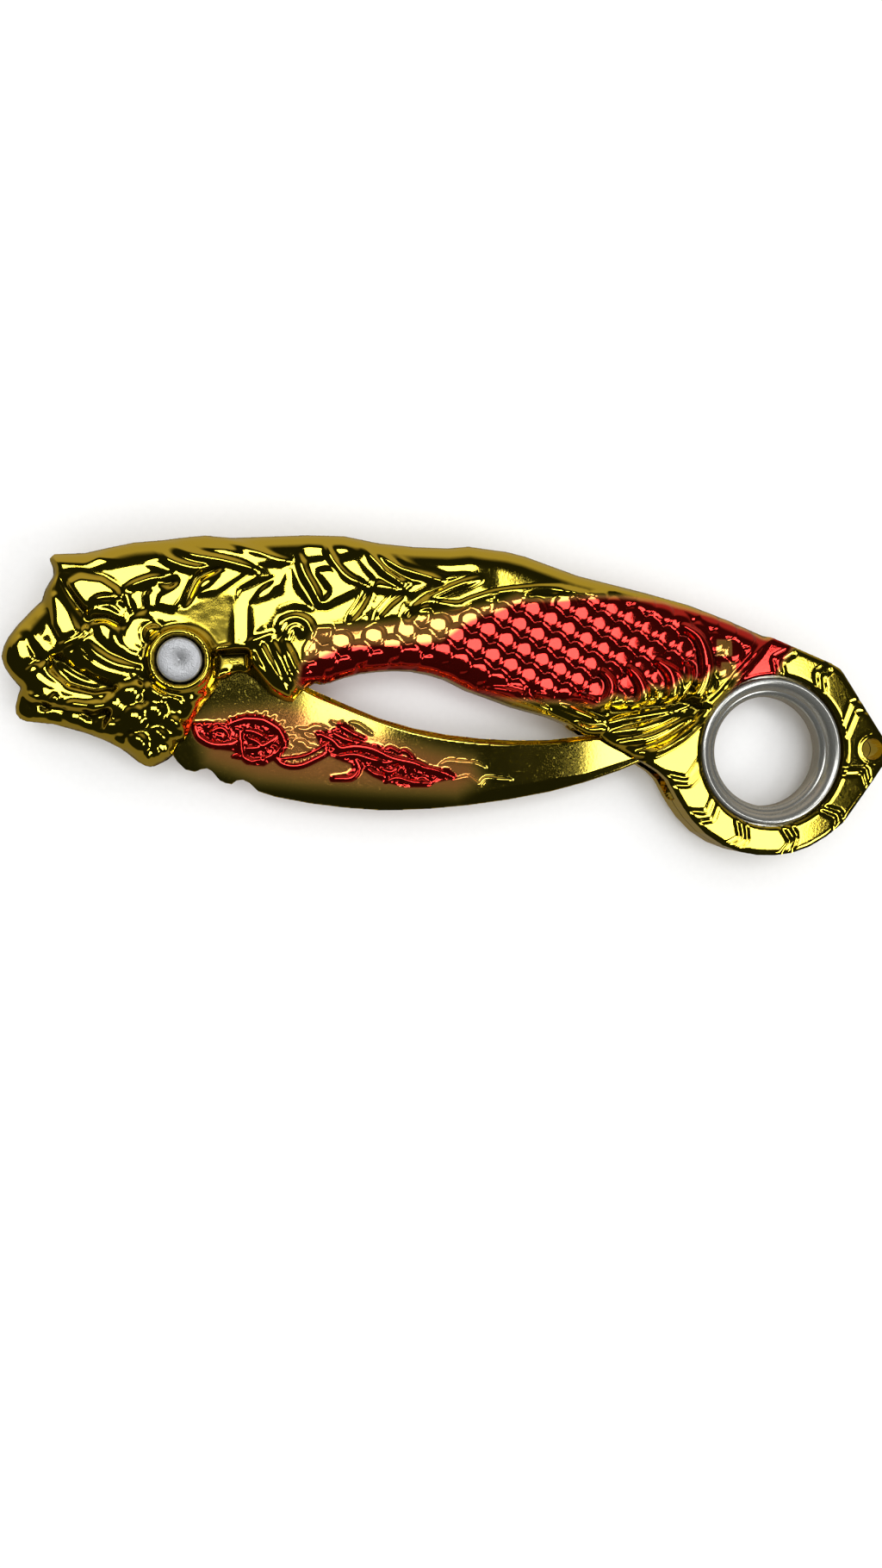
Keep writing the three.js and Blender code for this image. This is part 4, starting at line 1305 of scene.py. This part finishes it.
# %% [markdown]
# ## The blade
#
# The hawkbill blade is a flat bar with a wide chamfer along its spine, a narrow bevel along
# its hollow edge and two thumb notches. A coiled dragon is pressed into it in low relief:
# a spiked loop on the left, a ladder-plated tail and a horned head with two long whiskers.

# %% Blade
BLADE_HALF = node_centre("blade")[1][2] / 2
CHAMFER_SLOPE = 0.27  # fall for each millimetre outwards
EDGE_HALF = 0.3       # the cutting edge is left this blunt
EDGE_SLOPE = 1.1
DRAGON_TOP = 1.85
TANG_RADIUS = 8.4     # level ground round the pivot, between the washers
BLADE_BLUR = 0.07
DIMPLE = (0.8, 0.5)   # radius and depth of the detent ball's dimples
# Outside this outline the chamfer along the spine falls away.
FLAT = [(-14, 16), (-14, -21.5), (13, -21), (25.3, -21.9), (34.5, -23.2), (43.9, -23.7), (53.3, -23.1),
        (62.9, -21.2), (72.6, -19.7), (81.6, -16.9), (96, -12), (96, 16)]
CUTTING_EDGE = [(92, -14.6), (84.5, -12.6), (75.8, -12.4), (66.1, -13.5), (53.3, -13.3), (40.7, -11.4),
                (28.4, -7.1), (20, -3.1), (13, 4), (7.7, 9.85)]
LOOP = [(1.6, -10.5), (4.2, -10.3), (7.5, -10.7), (10.8, -9.5), (14.1, -9.7), (17.2, -11.5),
        (18.3, -13.8), (17.1, -16.3), (14.1, -18.2), (11.1, -17.9), (8.7, -15.6), (5.1, -15),
        (2.6, -13.3)]
BEAST = [(22.9, -12.1), (25.9, -11.8), (28.4, -10.4), (30.2, -11.6), (28.7, -13.1), (30.5, -14),
         (34.5, -14.3), (37.9, -16.4), (40.7, -16.7), (44.2, -18.4), (47.3, -18.7), (48.6, -20.4),
         (44.8, -21.2), (43.5, -22.1), (39.2, -22.1), (35.4, -21.1), (33.6, -20.2), (30.5, -18.2),
         (28, -17.4), (25.9, -16.5), (24.1, -14.7)]
LEG = [(29.6, -16.5), (31.4, -17.4), (31.1, -19.6), (29.6, -21), (26.2, -21), (25.9, -20), (28.6, -19.7),
       (29.6, -18.7)]
MASSES = ((LOOP, 21), (BEAST, 25), (LEG, 27))     # each with the seed of its texture
HALO = [(1.6, -9.6), (7.5, -8), (17.7, -7.4), (25.3, -8.8), (34.5, -12.5), (43.8, -15), (51.4, -16.8),
        (53.3, -20.7), (48.6, -23.4), (34.5, -22.7), (22.2, -21.7), (13.1, -20.6), (4.2, -17.4)]
TAIL = [(15.6, -16.3), (17.7, -18), (20.4, -18.2), (23.1, -17.1), (26.2, -15.4)]
LACQUERED = [
    ([(2.1, -11.2), (3, -13.3), (5.4, -14.5), (8.4, -14.4), (10.2, -13.3)], 1.2),
    ([(7.5, -12.3), (8.4, -10.6), (11.1, -9.8), (14.1, -10.1), (16.5, -11.6), (17.7, -13.8),
      (16.5, -15.9), (14.1, -17)], 1.4),
    ([(5.7, -13.6), (5.1, -12.3), (6.6, -11.5), (7.9, -12.6), (6.9, -13.9)], 0.8),
    ([(10.2, -11.9), (12.4, -12.2), (15, -13.5)], 0.9),
    ([(10.6, -15.1), (13.2, -15), (15.6, -13.8), (16.9, -12.5)], 1.0),
    ([(10, -11.5), (10.2, -15.6), (11.4, -17.4), (13.6, -17)], 0.9),
    ([(8.8, -16.5), (10.8, -16.8), (12.6, -17.7)], 0.7),
    ([(11.1, -13.2), (12.9, -13.9), (14.7, -15.6)], 0.8),
    (TAIL, 1.0),
    ([(16.2, -17), (20.7, -16.5), (23.5, -15.3), (26.2, -13.6)], 0.6),
    ([(23.9, -12.5), (26.2, -13.7), (27.7, -15.1), (30.2, -14.8), (33.3, -15.3), (37, -17), (40.9, -17.9),
      (44.8, -19.5), (47.9, -20.1)], 1.2),
    ([(26.2, -12.2), (28.3, -13.4), (31.4, -14)], 0.9),
    ([(27.1, -16.5), (30.2, -16.2), (33.3, -17.1), (36.4, -17.7)], 0.9),
    ([(27.4, -11), (29.9, -12.5), (32, -13.3)], 0.9),
    ([(30.2, -16.8), (31, -18.7), (29.6, -20.4), (26.2, -20.5)], 1.0),
    ([(35.4, -15.7), (36.5, -15), (38.4, -16)], 0.8),
    ([(38.1, -15.7), (39.3, -15.6), (40.9, -17)], 0.8),
    ([(34.5, -17.7), (36.4, -17.6), (39.5, -17.4)], 0.7),
    ([(34.8, -18.8), (36.8, -19.3), (38.1, -18.1)], 0.7),
    ([(40.4, -18.2), (43.8, -18.8), (47.3, -19.8)], 0.8),
    ([(35.7, -21), (37.9, -20.4), (40.7, -21.2), (43.8, -21.3)], 0.8),
    ([(32.2, -18.4), (33.6, -19.6), (35.4, -19.9)], 0.8),
]
BARE = [
    ([(45.4, -18.1), (47, -17.4), (49.3, -17.6), (51.7, -17.8), (53.9, -18.6)], 0.8),
    ([(47.8, -20.9), (50.3, -20.3), (51.1, -20.6), (52.7, -21.7), (53.9, -20.6), (56.5, -20.7),
      (58.7, -20.8)], 0.8),
    ([(19.8, -11.5), (21.6, -11.8), (23.2, -11.1), (25.6, -11.6)], 0.9),
    ([(19.5, -13.9), (21, -14.1), (21.9, -15), (23.6, -15)], 1.0),
    ([(16.8, -15.7), (18, -15), (18.9, -15)], 0.8),
    ([(29, -10.4), (30.7, -10.7), (32.2, -11.7), (33.4, -12.5)], 0.7),
    ([(4.7, -11.7), (6, -10.6), (7.6, -10.9)], 0.7),
    ([(25.8, -10.1), (27.1, -10.7), (28.1, -10.1)], 0.6),
    ([(21, -12.2), (21.9, -13.1), (23.2, -13.1)], 0.7),
]
SPIKE_ROOTS = [(7.5, -10.9), (8.5, -10.4), (9.7, -10.1), (11.1, -9.8), (12.4, -9.8), (13.8, -9.8),
               (15.1, -10.4), (16.3, -11.2), (17.4, -12.2), (18, -13.4)]


def grind_bar(c):
    """A flat bar ground down to its spine and its cutting edge; returns the depth inside it."""
    rim = read_rim("blade", BLADE_HALF, None, [(0, 0, PIVOT_BORE)])
    depth = depth_inside(c.x, c.y, rim)
    c.height += BLADE_HALF
    c.height -= CHAMFER_SLOPE * np.clip(-depth_inside(c.x, c.y, pairs_of(FLAT)), 0, None)
    gap, _ = from_line(c.x, c.y, flowing(CUTTING_EDGE))
    c.height = np.minimum(c.height, EDGE_HALF + EDGE_SLOPE * gap)
    c.height -= 0.25 * (1 - rounding(depth, 0.3))
    c.settle()
    return np.minimum(depth, np.hypot(c.x, c.y) - PIVOT_BORE)


def press_dragon(c):
    bar = c.height.copy()
    for mass, _ in MASSES:
        c.plate(mass, BLADE_HALF + 0.10, 0.5)
    for mass, seed in MASSES:
        c.crumple(mass, 0.35, 0.55, seed, (1.5, 1.0), -0.4)
    for line, width in LACQUERED + BARE:
        c.ridge(line, 0.42, width * 1.15, 0.25)
    centre = np.mean(SPIKE_ROOTS, axis=0) - (0, 4.0)
    for root in SPIKE_ROOTS:
        way = np.array(root) - centre
        way = way / np.hypot(*way) + (0.5, 0)
        c.ridge([root, np.array(root) + way * 1.1], 0.4, 0.6, 0.3)
    tail = flowing(TAIL)
    for low in [*tail[:16:2], tail[15]]:
        c.ridge([low, low + (0.4, 1.3)], 0.3, 0.45, 0.2)
    c.height = np.minimum(c.height, DRAGON_TOP)
    tang = np.hypot(c.x, c.y) < TANG_RADIUS
    c.height[tang] = np.minimum(bar, BLADE_HALF)[tang]


def colour_dragon(c):
    c.stain(HALO, 0.46, 6.0)
    for mass, _ in MASSES:
        c.stain(mass, 1.0, 0.7)
    for line, width in LACQUERED:
        at = c.near(line, 1.5)
        near, _ = from_line(c.x[at], c.y[at], flowing(line))
        c.lacquer[at] = np.maximum(c.lacquer[at], step((0.55 * width + 0.25 - near) / 0.3))
    # Painted shade in the dragon's deep places, kept only where the blade is lacquered.
    mark_hollows(c, 0.5)
    c.hollow *= c.lacquer > 0.3


def forge_blade():
    c = Relief((-9.8, -27.6), (90.4, 12.8), 0.2)
    inside = grind_bar(c)
    press_dragon(c)
    colour_dragon(c)
    c.height = soften(c.height, BLADE_BLUR / c.pitch)
    ball = node_centre("detent_ball")[0][:2]
    radius, depth = DIMPLE
    low = -c.height
    for x, y in (ball, -ball):
        low += depth * np.clip(1 - np.hypot(c.x - x, c.y - y) / radius, 0, 1)
    mesh = cast_piece(c, "blade_forged", inside, c.height, low, blocks=False)
    add_piece("hawkbill_blade", mesh, "blade", "blade", "blade")
    print("blade", len(mesh.polygons), "faces")


forge_blade()
